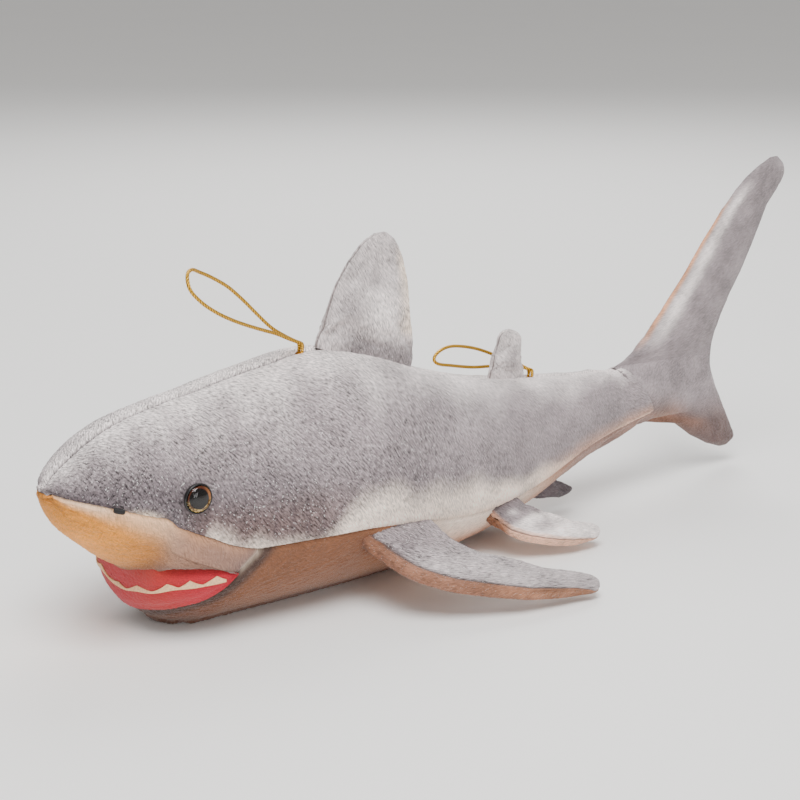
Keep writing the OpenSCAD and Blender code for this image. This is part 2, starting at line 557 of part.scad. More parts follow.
module right_eye_dome() eye_dome(-1);
module right_eye_washer() eye_washer(-1);

// --- Nostrils: a short bar of satin stitch lying on the snout seam
U_NOSTRIL = 4.15;
nostril_len = 7;
nostril_w = 2.2;
module nostril(side) color(black) {
    p = skin(U_NOSTRIL, seam(U_NOSTRIL) - 3);
    q = skin(U_NOSTRIL + 0.3, seam(U_NOSTRIL + 0.3) - 3);
    d = q - p;
    mirror([0, side > 0 ? 0 : 1, 0]) translate(p + [0, -nostril_w / 2 - 0.05, 0])
        rotate([0, 90 - asin(d[2] / norm(d)) , atan2(d[1], d[0])])
            translate([0, 0, -nostril_len / 2]) cylinder(d = nostril_w * 0.8, h = nostril_len);
}
module left_nostril() nostril(1);
module right_nostril() nostril(-1);

// --- Hanging loops: each leaves the stitch at its root, goes round and comes back beside itself.
// The points are along from the nose, to the right of the middle, and above the floor, on a body of
// this length and height. On another body they keep their places along it and above it, but a loop
// starts no nearer to the nose than `after`, so that it clears the fin in front of its root.
DRAWN_LEN = 440;
DRAWN_H = 137;
function back_at(x) = skin(u_at(nose_x + x), 0)[2];
function placed(route, after) =
    let (k = body_len / DRAWN_LEN, x = route[0][0] * k, push = max(0, after - x),
        sink = push > 0 ? back_at(x + push) - back_at(x) : 0)
    [for (p = route) [p[0] * k + push, p[1], p[2] * body_h / DRAWN_H + sink]];
FRONT_ROUTE = placed([[162, 1.6, 139.3], [154, 1.6, 143.8], [145, 2, 150], [137, 4, 158.5], [130, 6, 166.5],
    [121, 7, 175], [111, 7, 181.5], [102, 5, 186], [96, 2, 188.5], [91.5, -1, 187.5],
    [89.5, -4, 183.5], [90.5, -6, 178.5], [96, -8, 172], [104, -9, 166], [114, -8, 160.5],
    [125, -6, 155.5], [136, -4, 151], [146, -2, 147], [154, -1.6, 143], [162, -1.6, 139.3]], 0);
REAR_ROUTE = placed([[333, 1.6, 96], [328, 7, 99.5], [321, 13, 102.5], [312, 16, 107], [303, 17, 110.5],
    [294, 17, 113], [285, 17, 114.5], [277, 16, 114], [271, 15, 111.5], [269.5, 14, 108.5],
    [273, 13.5, 106], [281, 13.5, 104], [291, 14, 101.5], [301, 14, 99.5], [311, 13.5, 98.5],
    [320, 10, 98.5], [327, 4, 98], [333, -1.6, 96]],
    (dorsal2_f[0] + dorsal2_f[1] * 1.03 * dorsal2_base)[0] - nose_x + 5);
// Where each loop goes through the back seam
function root_of(route) = skin(u_at(nose_x + route[0][0]), 0);
FRONT_ROOT = root_of(FRONT_ROUTE);
REAR_ROOT = root_of(REAR_ROUTE);
strands_w = 2 * FRONT_ROUTE[0][1] + cord_d;      // both strands side by side
module cord_hole(root) translate(root - [0, 0, 2 * fabric])
    cylinder(d = strands_w + 2 * fill_gap, h = 4 * fabric);
module cord(route) {
    points = [for (p = route) [nose_x + p[0], p[1], p[2]]];
    n = 2 * (len(points) - 1);
    path = [for (i = [0:n]) spline(points, i / 2)];
    rings = [for (i = [0:n])
        let (t = unit(path[min(n, i + 1)] - path[max(0, i - 1)]), b = unit(cross(t, [0, 1, 0])),
            c = cross(b, t))
        [for (j = [0:7]) path[i] + cord_d / 2 * (cos(j * 45) * b + sin(j * 45) * c)]];
    loft(rings);
}
module front_loop() color(gold) cord(FRONT_ROUTE);
module rear_loop() color(gold) cord(REAR_ROUTE);
// A knot under the fabric, and the two strands through the seam up to the loop
module knot(root) {
    stub_h = fabric + fill_gap + knot_d / 2;
    translate(root - [0, 0, stub_h]) {
        sphere(d = knot_d, $fn = 32);
        for (y = [-1, 1] * FRONT_ROUTE[0][1]) translate([0, y, 0])
            cylinder(d = cord_d, h = stub_h + cord_d / 4);
    }
}
module front_knot() color(gold) knot(FRONT_ROOT);
module rear_knot() color(gold) knot(REAR_ROOT);

left_side_panel();
right_side_panel();
snout_panel();
belly_panel();
mouth_palate();
mouth_floor();
tooth_strip();
body_stuffing();
tail_left_panel();
tail_right_panel();
tail_lower_panel();
tail_stuffing();
caudal_left_panel();
caudal_right_panel();
caudal_stuffing();
first_dorsal_left_panel();
first_dorsal_right_panel();
first_dorsal_stuffing();
second_dorsal_left_panel();
second_dorsal_right_panel();
second_dorsal_stuffing();
left_pectoral_upper_panel();
left_pectoral_lower_panel();
left_pectoral_stuffing();
right_pectoral_upper_panel();
right_pectoral_lower_panel();
right_pectoral_stuffing();
left_pelvic_upper_panel();
left_pelvic_lower_panel();
left_pelvic_stuffing();
right_pelvic_upper_panel();
right_pelvic_lower_panel();
right_pelvic_stuffing();
anal_left_panel();
anal_right_panel();
anal_stuffing();
left_eye_shell();
left_eye_iris();
left_eye_dome();
left_eye_washer();
right_eye_shell();
right_eye_iris();
right_eye_dome();
right_eye_washer();
left_nostril();
right_nostril();
front_loop();
front_knot();
rear_loop();
rear_knot();
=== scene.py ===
"""Plush shark: sewn velboa panels, stuffed fins, felt teeth, safety eyes and gold cord loops.

Lengths in the tables are millimetres, or shares that a comment explains. A mesh is made in metres.
"""

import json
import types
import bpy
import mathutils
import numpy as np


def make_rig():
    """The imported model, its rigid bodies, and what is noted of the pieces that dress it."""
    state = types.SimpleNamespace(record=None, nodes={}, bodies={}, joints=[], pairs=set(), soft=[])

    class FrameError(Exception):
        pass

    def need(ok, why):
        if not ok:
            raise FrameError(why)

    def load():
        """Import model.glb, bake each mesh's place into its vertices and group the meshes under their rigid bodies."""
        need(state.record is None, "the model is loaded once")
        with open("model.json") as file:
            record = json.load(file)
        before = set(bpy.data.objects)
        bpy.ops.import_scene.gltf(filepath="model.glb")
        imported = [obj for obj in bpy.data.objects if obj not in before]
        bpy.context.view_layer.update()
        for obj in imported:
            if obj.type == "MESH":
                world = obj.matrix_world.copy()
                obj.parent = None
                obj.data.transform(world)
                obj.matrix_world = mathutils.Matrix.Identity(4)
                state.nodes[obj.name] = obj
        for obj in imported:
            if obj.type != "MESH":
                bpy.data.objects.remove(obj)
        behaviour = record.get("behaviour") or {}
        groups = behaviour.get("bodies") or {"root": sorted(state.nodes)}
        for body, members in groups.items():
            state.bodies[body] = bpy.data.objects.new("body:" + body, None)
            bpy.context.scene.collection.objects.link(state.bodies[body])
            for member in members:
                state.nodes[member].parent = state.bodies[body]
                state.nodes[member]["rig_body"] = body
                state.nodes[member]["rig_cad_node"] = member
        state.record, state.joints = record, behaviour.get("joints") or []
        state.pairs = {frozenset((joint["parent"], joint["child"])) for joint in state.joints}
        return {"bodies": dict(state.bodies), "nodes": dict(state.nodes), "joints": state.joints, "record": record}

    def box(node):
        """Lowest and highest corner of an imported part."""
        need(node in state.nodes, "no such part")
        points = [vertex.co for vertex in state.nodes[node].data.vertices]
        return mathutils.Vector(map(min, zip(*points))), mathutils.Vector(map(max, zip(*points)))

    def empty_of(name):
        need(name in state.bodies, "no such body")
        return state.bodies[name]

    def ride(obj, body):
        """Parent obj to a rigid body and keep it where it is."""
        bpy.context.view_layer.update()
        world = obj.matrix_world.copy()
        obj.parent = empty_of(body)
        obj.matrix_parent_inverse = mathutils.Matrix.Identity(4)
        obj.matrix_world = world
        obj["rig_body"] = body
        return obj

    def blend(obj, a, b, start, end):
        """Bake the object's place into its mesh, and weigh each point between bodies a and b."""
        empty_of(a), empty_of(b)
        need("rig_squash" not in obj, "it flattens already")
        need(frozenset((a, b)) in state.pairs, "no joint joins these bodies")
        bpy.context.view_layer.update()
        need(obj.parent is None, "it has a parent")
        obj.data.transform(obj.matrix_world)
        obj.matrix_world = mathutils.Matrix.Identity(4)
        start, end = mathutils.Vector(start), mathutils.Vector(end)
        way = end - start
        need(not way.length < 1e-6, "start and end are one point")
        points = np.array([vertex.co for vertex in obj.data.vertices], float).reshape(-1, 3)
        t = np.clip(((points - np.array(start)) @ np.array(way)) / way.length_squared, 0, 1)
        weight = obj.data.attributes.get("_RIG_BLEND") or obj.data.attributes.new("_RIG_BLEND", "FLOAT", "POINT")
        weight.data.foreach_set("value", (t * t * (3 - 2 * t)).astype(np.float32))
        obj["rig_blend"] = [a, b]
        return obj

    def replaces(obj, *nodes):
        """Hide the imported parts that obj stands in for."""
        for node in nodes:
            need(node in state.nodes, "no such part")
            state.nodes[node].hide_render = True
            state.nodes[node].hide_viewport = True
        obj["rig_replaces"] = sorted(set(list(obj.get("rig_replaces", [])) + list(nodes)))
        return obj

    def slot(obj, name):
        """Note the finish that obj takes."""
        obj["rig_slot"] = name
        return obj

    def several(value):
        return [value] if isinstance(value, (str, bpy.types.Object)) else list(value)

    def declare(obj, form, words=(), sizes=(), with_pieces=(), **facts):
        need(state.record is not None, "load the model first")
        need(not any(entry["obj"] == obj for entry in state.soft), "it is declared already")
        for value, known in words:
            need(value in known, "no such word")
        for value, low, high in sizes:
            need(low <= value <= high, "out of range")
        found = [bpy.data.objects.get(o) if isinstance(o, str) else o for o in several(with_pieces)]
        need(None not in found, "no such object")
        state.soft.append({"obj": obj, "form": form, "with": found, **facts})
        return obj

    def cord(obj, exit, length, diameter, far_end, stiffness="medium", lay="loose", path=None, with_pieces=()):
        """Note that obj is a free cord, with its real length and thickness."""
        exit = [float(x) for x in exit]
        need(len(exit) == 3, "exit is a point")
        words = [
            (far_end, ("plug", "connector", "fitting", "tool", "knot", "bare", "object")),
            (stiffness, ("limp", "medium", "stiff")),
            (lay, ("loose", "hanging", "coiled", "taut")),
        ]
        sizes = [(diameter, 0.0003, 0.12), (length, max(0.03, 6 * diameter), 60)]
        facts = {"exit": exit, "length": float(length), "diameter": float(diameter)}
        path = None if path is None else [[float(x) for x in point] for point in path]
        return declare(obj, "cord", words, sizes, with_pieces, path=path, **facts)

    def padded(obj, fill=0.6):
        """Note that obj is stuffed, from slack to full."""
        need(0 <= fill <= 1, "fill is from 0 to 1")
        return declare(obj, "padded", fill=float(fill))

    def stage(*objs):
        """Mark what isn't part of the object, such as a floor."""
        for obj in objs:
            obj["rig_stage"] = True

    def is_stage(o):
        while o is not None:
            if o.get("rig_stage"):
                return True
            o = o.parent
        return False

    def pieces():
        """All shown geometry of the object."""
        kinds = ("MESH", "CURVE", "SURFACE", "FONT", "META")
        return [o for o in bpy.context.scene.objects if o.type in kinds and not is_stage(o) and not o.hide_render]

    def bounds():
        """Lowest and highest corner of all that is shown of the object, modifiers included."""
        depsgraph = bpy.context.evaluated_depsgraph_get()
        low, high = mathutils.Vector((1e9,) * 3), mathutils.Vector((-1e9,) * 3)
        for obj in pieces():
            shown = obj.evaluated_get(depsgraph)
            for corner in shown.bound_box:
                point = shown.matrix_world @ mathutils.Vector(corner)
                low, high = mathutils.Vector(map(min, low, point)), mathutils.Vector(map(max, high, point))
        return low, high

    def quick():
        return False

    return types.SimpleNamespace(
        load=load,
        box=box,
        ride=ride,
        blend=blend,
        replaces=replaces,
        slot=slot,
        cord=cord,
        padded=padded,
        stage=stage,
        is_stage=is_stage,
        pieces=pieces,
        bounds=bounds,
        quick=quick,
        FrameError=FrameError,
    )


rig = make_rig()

bl_info = {
    "name": "Plush shark",
    "version": (1, 0, 0),
    "blender": (4, 5, 0),
    "location": "3D View > Sidebar > Shark",
    "description": "Builds the sewn skin, mouth, eyes, fins and cords of a stuffed shark round its frame",
    "category": "Add Mesh",
}

import json
import math

import bpy
import numpy as np
from mathutils import Vector

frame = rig.load()
CAD_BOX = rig.bounds()

MM = 0.001
SEED = 7

# ---------------------------------------------------------------- the body's measures

TOTAL_LEN = 560.0
BODY_LEN = 440.0
BODY_W = 128.0
BODY_H = 137.0
NOSE_X = -TOTAL_LEN / 2

# Rows from the nose to the tail: back along, back height, belly along, belly height, share of the chord to
# the widest place, width. Lengths are percent of BODY_LEN, heights of BODY_H, widths of BODY_W.
SECTIONS = np.array([
    [0, 63.2, 0, 62.4, 0.50, 0],
    [0.6, 67.5, 0.3, 57.7, 0.50, 15],
    [2, 72, 0.9, 51, 0.50, 29],
    [4.3, 77, 2, 45.3, 0.50, 42],
    [7, 82, 4.1, 38.7, 0.50, 53],
    [10, 85.8, 6.8, 31, 0.50, 62],
    [12.7, 88, 9.5, 24, 0.50, 68],
    [15, 89.4, 10.2, 11.7, 0.50, 73.5],
    [17.5, 90.9, 13, 2.5, 0.50, 79],
    [20.7, 92.3, 17.3, -2, 0.52, 84.5],
    [24.5, 94.5, 22.7, -2.2, 0.54, 90],
    [30.7, 97.4, 30.7, -2.2, 0.55, 97],
    [38.6, 100, 38.6, -2.2, 0.55, 100],
    [46.6, 94.2, 46.6, -2.2, 0.54, 95.3],
    [55.7, 82.8, 55.7, -1.5, 0.53, 83.6],
    [64.8, 74.1, 64.8, 1.5, 0.52, 69.5],
    [73.9, 69.3, 73.9, 8.8, 0.50, 54.7],
    [83, 65.7, 83, 20.8, 0.50, 40.6],
    [89.5, 63.3, 91, 27.5, 0.50, 29.5],
    [93.6, 61.6, 99.5, 33, 0.50, 23]])
LAST = len(SECTIONS) - 1
FIRST = 0.02

# Seams and lips: section u and angle a from the back seam, in degrees
U_JOIN, A_JOIN = 9.8, 99.5
A_TAIL_SEAM = 128
SNOUT_SEAM = np.array([[0, 84], [2, 87], [4, 95], [5.7, 97], [6.5, 93.6], [7.4, 92.2], [8.4, 93.6],
    [U_JOIN, A_JOIN]])
Q_CORNER = 0.85
U_CORNER, A_CORNER = 9.3, 111
UPPER_LIP = np.array([[6, 180], [6.1, 150], [6.9, 122], [8, 111.5], [8.8, 109.5], [U_CORNER, A_CORNER]])
LOWER_LIP = np.array([[7.2, 180], [7.35, 157], [7.95, 139], [8.5, 130], [8.95, 121], [U_CORNER, A_CORNER]])

# Fins: rows of share of the reach, front edge, rear edge, half-thickness (shares of root and thickness)
DORSAL = np.array([[0, 0, 1.03, 0.9], [0.21, 0, 0.98, 1], [0.46, 0.02, 0.88, 0.92], [0.66, 0.085, 0.79, 0.8],
    [0.84, 0.2, 0.645, 0.62], [0.96, 0.31, 0.53, 0.4], [1, 0.4, 0.44, 0.2]])
DORSAL2 = np.array([[0, 0, 1.02, 0.9], [0.3, -0.02, 0.95, 1], [0.6, 0.03, 0.93, 0.95], [0.8, 0.12, 0.83, 0.8],
    [0.94, 0.26, 0.66, 0.5], [1, 0.42, 0.5, 0.25]])
PECTORAL = np.array([[0, 0, 1, 0.8], [0.19, 0.02, 1.02, 1], [0.39, 0.12, 1.19, 1], [0.58, 0.38, 1.55, 0.95],
    [0.72, 0.76, 1.86, 0.9], [0.84, 1.15, 2.1, 0.82], [0.92, 1.56, 2.18, 0.7], [0.98, 1.9, 2.15, 0.45],
    [1, 2, 2.08, 0.2]])
PELVIC = np.array([[0, 0, 1, 0.85], [0.32, 0.04, 1.3, 1], [0.55, 0.3, 1.6, 1], [0.73, 0.68, 1.87, 0.9],
    [0.89, 1.15, 2, 0.7], [1, 1.62, 1.92, 0.25]])
ANAL = np.array([[0, 0, 1, 0.9], [0.3, 0.15, 1.15, 1], [0.6, 0.5, 1.38, 0.85], [0.85, 0.95, 1.5, 0.6],
    [1, 1.3, 1.48, 0.25]])
CAUDAL = np.array([[0, 0.66, 0.71, 0.3], [0.025, 0.57, 0.75, 0.55], [0.07, 0.46, 0.725, 0.7],
    [0.135, 0.34, 0.68, 0.85], [0.169, 0.215, 0.655, 0.95], [0.23, 0.165, 0.61, 1],
    [0.308, 0.1, 0.57, 1], [0.37, 0.05, 0.57, 1], [0.41, 0.075, 0.58, 1], [0.45, 0.14, 0.6, 0.98],
    [0.528, 0.235, 0.655, 0.88], [0.631, 0.36, 0.745, 0.78], [0.738, 0.475, 0.825, 0.7],
    [0.841, 0.595, 0.895, 0.64], [0.9, 0.68, 0.965, 0.64], [0.94, 0.75, 1, 0.6],
    [0.975, 0.83, 0.99, 0.45], [1, 0.905, 0.955, 0.2]])
CAUDAL_H, CAUDAL_T = 195.0, 17.0
MOVE_GAP = 1.2

# Each loop's points: along from the nose, to the right of the middle, above the floor
FRONT_ROUTE = np.array([[162, 1.6, 139.3], [154, 1.6, 143.8], [145, 2, 150], [137, 4, 158.5], [130, 6, 166.5],
    [121, 7, 175], [111, 7, 181.5], [102, 5, 186], [96, 2, 188.5], [91.5, -1, 187.5],
    [89.5, -4, 183.5], [90.5, -6, 178.5], [96, -8, 172], [104, -9, 166], [114, -8, 160.5],
    [125, -6, 155.5], [136, -4, 151], [146, -2, 147], [154, -1.6, 143], [162, -1.6, 139.3]])
REAR_ROUTE = np.array([[333, 1.6, 96], [328, 7, 99.5], [321, 13, 102.5], [312, 16, 107], [303, 17, 110.5],
    [294, 17, 113], [285, 17, 114.5], [277, 16, 114], [271, 15, 111.5], [269.5, 14, 108.5],
    [273, 13.5, 106], [281, 13.5, 104], [291, 14, 101.5], [301, 14, 99.5], [311, 13.5, 98.5],
    [320, 10, 98.5], [327, 4, 98], [333, -1.6, 96]])


# ---------------------------------------------------------------- numpy shapes

def spot(x, centre, width):
    """A soft spot: 1 at the centre, and 1/e at a width from it."""
    return np.exp(-((x - centre) / width) ** 2)


def ease(t):
    """Smooth step: 3t^2 - 2t^3 with t held between 0 and 1."""
    t = np.clip(t, 0, 1)
    return t * t * (3 - 2 * t)


def curve(table, u):
    """Catmull-Rom curve through the rows of a table, at row number u, straight on past both ends."""
    table = np.asarray(table, float)
    u = np.asarray(u, float)
    n = len(table) - 1
    i = np.clip(np.floor(u).astype(int), 0, n - 1)
    f = (u - i)[..., None]
    p1, p2 = table[i], table[i + 1]
    p0 = np.where((i == 0)[..., None], 2 * p1 - p2, table[np.maximum(i - 1, 0)])
    p3 = np.where((i == n - 1)[..., None], 2 * p2 - p1, table[np.minimum(i + 2, n)])
    return 0.5 * (2 * p1 + (p2 - p0) * f + (2 * p0 - 5 * p1 + 4 * p2 - p3) * f**2
                  + (3 * p1 - p0 - 3 * p2 + p3) * f**3)


def row_at(table, v):
    """The row of a fin table at share v of its reach."""
    return curve(table, np.interp(v, table[:, 0], np.arange(len(table))))


def section(u):
    """Back point, belly point, chord share and half-width at section u, in mm."""
    r = curve(SECTIONS, u)
    return (NOSE_X + r[..., 0] * BODY_LEN / 100, r[..., 1] * BODY_H / 100,
            NOSE_X + r[..., 2] * BODY_LEN / 100, r[..., 3] * BODY_H / 100,
            r[..., 4], r[..., 5] * BODY_W / 200)


def skin(u, a, inset=0.0):
    """A point of the body: along the chord cos(a)^0.96 above its widest place and cos(a) below it, and
    out by the half-width times sin(a), drawn in by inset and flat where it meets the floor."""
    u, a, inset = np.broadcast_arrays(np.asarray(u, float), np.asarray(a, float), np.asarray(inset, float))
    tx, tz, bx, bz, share, w = section(u)
    cx, cz = tx + (bx - tx) * share, tz + (bz - tz) * share
    c, s = np.cos(np.radians(a)), np.sin(np.radians(a))
    up = c > 0
    rx, rz = np.where(up, tx - cx, bx - cx), np.where(up, tz - cz, bz - cz)
    k = np.maximum(0.05, 1 - inset / np.maximum(0.1, np.hypot(rx, rz)))
    f = np.where(up, np.abs(c) ** 0.96, np.abs(c)) * k
    y = -np.maximum(0.02, w - inset) * np.sign(s) * np.where(up, np.abs(s) ** 0.92, np.abs(s))
    return np.stack([cx + rx * f, y, np.maximum(cz + rz * f, 0.15 + np.maximum(inset, 0))], -1)


def seam(u):
    """Angle of the seam under the side panel: the snout seam to the join, then eased down to the tail."""
    u = np.asarray(u, float)
    back = A_JOIN + (A_TAIL_SEAM - A_JOIN) * ease((u - U_JOIN) / (LAST - U_JOIN))
    return np.where(u <= U_JOIN, np.interp(u, SNOUT_SEAM[:, 0], SNOUT_SEAM[:, 1]), back)


def lip(table, q):
    """A lip from the middle, q 0, to the corner of the mouth, then on to the join, q 1."""
    q = np.asarray(q, float)
    in_lip = curve(table, np.clip(q / Q_CORNER, 0, 1) * (len(table) - 1))
    t = np.clip((q - Q_CORNER) / (1 - Q_CORNER), 0, 1)[..., None]
    past = np.array([U_CORNER, A_CORNER]) * (1 - t) + np.array([U_JOIN, A_JOIN]) * t
    return np.where((q > Q_CORNER)[..., None], past, in_lip)


def unit(v):
    """Vectors scaled to length 1, along the last axis."""
    return v / np.maximum(np.linalg.norm(v, axis=-1, keepdims=True), 1e-9)


def normals(p, wrap=False):
    """Unit normals of a grid of points, from the cross product of its two directions."""
    du = np.gradient(p, axis=0)
    dv = (np.roll(p, -1, 1) - np.roll(p, 1, 1)) / 2 if wrap else np.gradient(p, axis=1)
    return unit(np.cross(du, dv))


def pile_relief(shape, seed, run=4):
    """Seeded random heights, averaged along a diagonal so that they lie as combed tufts."""
    r = np.random.default_rng(SEED + seed).standard_normal(shape)
    lain = sum(np.roll(r, (k, k // 2), (0, 1)) for k in range(run)) / math.sqrt(run)
    return np.clip(lain, -2, 2)


def sample(grid, x, y):
    """Bicubic reading of a grid whose second direction is closed: two Catmull-Rom passes."""
    n, m = grid.shape[:2]
    i = np.clip(np.floor(x).astype(int), 0, n - 2)
    j = np.floor(y).astype(int)
    fx, fy = (x - i)[..., None], (y - j)[..., None]

    def cubic(a, b, c, d, f):
        """Catmull-Rom value between b and c."""
        return 0.5 * (2 * b + (c - a) * f + (2 * a - 5 * b + 4 * c - d) * f**2
                      + (3 * b - a - 3 * c + d) * f**3)

    rows = []
    for k in (-1, 0, 1, 2):
        ii = np.clip(i + k, 0, n - 1)
        rows.append(cubic(*(grid[ii, (j + h) % m] for h in (-1, 0, 1, 2)), fy))
    return cubic(*rows, fx)


# ---------------------------------------------------------------- meshes and materials

def grid_faces(n, m, wrap=False):
    """Quads of an n by m grid, closed in its second direction if wrap."""
    i, j = np.meshgrid(np.arange(n - 1), np.arange(m if wrap else m - 1), indexing="ij")
    a, b = i * m + j, i * m + (j + 1) % m
    return np.stack([a, b, b + m, a + m], -1).reshape(-1, 4)


def make_mesh(name, points, faces, attributes=None, flip=False):
    """A mesh object from points in mm and quads or triangles; attributes are per vertex."""
    mesh = bpy.data.meshes.new(name)
    points = np.asarray(points, float).reshape(-1, 3)
    faces = [np.asarray(f)[:, ::-1 if flip else 1] for f in (faces if isinstance(faces, list) else [faces])]
    loops = np.concatenate([f.ravel() for f in faces])
    sizes = np.concatenate([np.full(len(f), f.shape[1]) for f in faces])
    mesh.vertices.add(len(points))
    mesh.vertices.foreach_set("co", (points * MM).ravel())
    mesh.loops.add(len(loops))
    mesh.loops.foreach_set("vertex_index", loops.astype(np.int32))
    mesh.polygons.add(len(sizes))
    mesh.polygons.foreach_set("loop_start", np.concatenate([[0], np.cumsum(sizes)[:-1]]).astype(np.int32))
    mesh.update(calc_edges=True)
    mesh.validate()
    mesh.polygons.foreach_set("use_smooth", np.ones(len(mesh.polygons), bool))
    for key, value in (attributes or {}).items():
        value = np.asarray(value, np.float32).reshape(len(points), -1)
        kind = {1: "FLOAT", 3: "FLOAT_VECTOR", 4: "FLOAT_COLOR"}[value.shape[1]]
        field = {1: "value", 3: "vector", 4: "color"}[value.shape[1]]
        mesh.attributes.new(key, kind, "POINT").data.foreach_set(field, value.ravel())
    obj = bpy.data.objects.new(name, mesh)
    bpy.context.scene.collection.objects.link(obj)
    return obj


def linear(text):
    """sRGB hex to a linear RGBA colour."""
    c = np.array([int(text[i:i + 2], 16) for i in (1, 3, 5)]) / 255
    return (*np.where(c <= 0.04045, c / 12.92, ((c + 0.055) / 1.055) ** 2.4), 1.0)


def add(tree, kind, settings=None, links=None):
    """Adds a node, sets its properties and sockets, and links sockets to other nodes' outputs."""
    node = tree.nodes.new("ShaderNode" + kind)
    for key, value in (settings or {}).items():
        if isinstance(key, str) and hasattr(node, key):
            setattr(node, key, value)
        else:
            node.inputs[key].default_value = value
    for key, (source, output) in (links or {}).items():
        tree.links.new(source.outputs[output], node.inputs[key])
    return node


def node_material(build):
    """Turns a function that adds nodes to a tree and returns the shader into one that makes the named
    material, or returns it if it is already there."""
    def made(name, *sizes, **settings):
        mat = bpy.data.materials.get(name)
        if mat is None:
            mat = bpy.data.materials.new(name)
            mat.use_nodes = True
            mat.node_tree.nodes.clear()
            out = add(mat.node_tree, "OutputMaterial")
            shader = build(mat.node_tree, *sizes, **settings)
            mat.node_tree.links.new(shader.outputs[0], out.inputs["Surface"])
        return mat
    made.__doc__ = build.__doc__
    return made


@node_material
def velboa(tree, cloud_size, blotch):
    """Short-pile polyester velboa, airbrushed: combed tufts, bright fibre ends and a silky sheen.
    The tufts are drawn 0.6 mm wide and 3 mm long, as single fibres are too fine to show. The dye's
    alpha says how far the pile is brushed up, which brings out the tufts and the bright ends."""
    base_colour = add(tree, "Attribute", {"attribute_name": "base_colour"})
    pile = add(tree, "Attribute", {"attribute_name": "pile"})
    place = add(tree, "TexCoord")
    combed = add(tree, "Mapping", {"Scale": (300, 1150, 1)}, {"Vector": (pile, "Vector")})
    tufts = add(tree, "TexNoise", {"Scale": 1.0, "Detail": 3.0, "Roughness": 0.6},
                {"Vector": (combed, "Vector")})
    fleck_map = add(tree, "Mapping", {"Scale": (1500, 2600, 1)}, {"Vector": (pile, "Vector")})
    flecks = add(tree, "TexVoronoi", {"Scale": 1.0}, {"Vector": (fleck_map, "Vector")})
    pick = add(tree, "SeparateColor", None, {"Color": (flecks, "Color")})
    clouds = add(tree, "TexNoise", {"Scale": 1 / cloud_size, "Detail": 4.0, "Roughness": 0.6},
                 {"Vector": (place, "Object")})
    streak = add(tree, "MapRange", {"From Min": 0.34, "From Max": 0.66, "To Min": -0.7, "To Max": 0.7},
                 {"Value": (tufts, "Fac")})
    raised = add(tree, "MapRange", {"To Min": 0.28, "To Max": 1.0}, {"Value": (base_colour, "Alpha")})
    shown = add(tree, "Math", {"operation": "MULTIPLY"}, {0: (streak, "Result"), 1: (raised, "Result")})
    spread = {"From Min": 0.36, "From Max": 0.64, "To Min": 1 - blotch, "To Max": 1 + blotch}
    mottled = add(tree, "MapRange", spread, {"Value": (clouds, "Fac")})
    both = add(tree, "Math", {"operation": "ADD"}, {0: (shown, "Value"), 1: (mottled, "Result")})
    coat = add(tree, "VectorMath", {"operation": "SCALE"}, {0: (base_colour, "Color"), "Scale": (both, "Value")})
    # Painted glints: rare specks mixed towards white in the base colour
    rare = add(tree, "MapRange", {"From Min": 0.955, "From Max": 0.995, "To Max": 0.6},
               {"Value": (pick, "Red")})
    amount = add(tree, "Math", {"operation": "MULTIPLY"}, {0: (rare, "Result"), 1: (base_colour, "Alpha")})
    glint = add(tree, "Mix", {"data_type": "RGBA", 7: (0.95, 0.93, 0.91, 1)},
                {"Factor": (amount, "Value"), 6: (coat, "Vector")})
    bump = add(tree, "Bump", {"Strength": 0.8, "Distance": 0.0006}, {"Height": (tufts, "Fac")})
    return add(tree, "BsdfPrincipled", {"Roughness": 0.88, "Sheen Weight": 0.3, "Sheen Roughness": 0.4,
                                        "Specular IOR Level": 0.25},
               {"Base Color": (glint, 2), "Normal": (bump, "Normal")})


@node_material
def brushed_knit(tree):
    """Brushed polyester knit of the mouth lining: a fine matt nap about 0.6 mm across."""
    base_colour = add(tree, "Attribute", {"attribute_name": "base_colour"})
    place = add(tree, "TexCoord")
    nap = add(tree, "TexNoise", {"Scale": 1500.0, "Detail": 3.0}, {"Vector": (place, "Object")})
    tone = add(tree, "MapRange", {"From Min": 0.3, "From Max": 0.7, "To Min": 0.78, "To Max": 1.2},
               {"Value": (nap, "Fac")})
    coat = add(tree, "VectorMath", {"operation": "SCALE"}, {0: (base_colour, "Color"), "Scale": (tone, "Result")})
    bump = add(tree, "Bump", {"Strength": 0.5, "Distance": 0.0005}, {"Height": (nap, "Fac")})
    return add(tree, "BsdfPrincipled", {"Roughness": 0.85, "Sheen Weight": 0.25},
               {"Base Color": (coat, "Vector"), "Normal": (bump, "Normal")})


@node_material
def fibres(tree, colour, scale, rough, bump_mm, low=0.8, high=1.15, **shader_settings):
    """A matt or glossy solid with a fine random grain: pressed felt, thread, moulded plastic."""
    place = add(tree, "TexCoord")
    grain = add(tree, "TexNoise", {"Scale": scale, "Detail": 4.0}, {"Vector": (place, "Object")})
    tone = add(tree, "MapRange", {"From Min": 0.3, "From Max": 0.7, "To Min": low, "To Max": high},
               {"Value": (grain, "Fac")})
    base = add(tree, "VectorMath", {"operation": "SCALE"}, {"Scale": (tone, "Result")})
    base.inputs[0].default_value = linear(colour)[:3]
    bump = add(tree, "Bump", {"Strength": 0.5, "Distance": bump_mm * MM}, {"Height": (grain, "Fac")})
    return add(tree, "BsdfPrincipled", {"Roughness": rough, **shader_settings},
               {"Base Color": (base, "Vector"), "Normal": (bump, "Normal")})


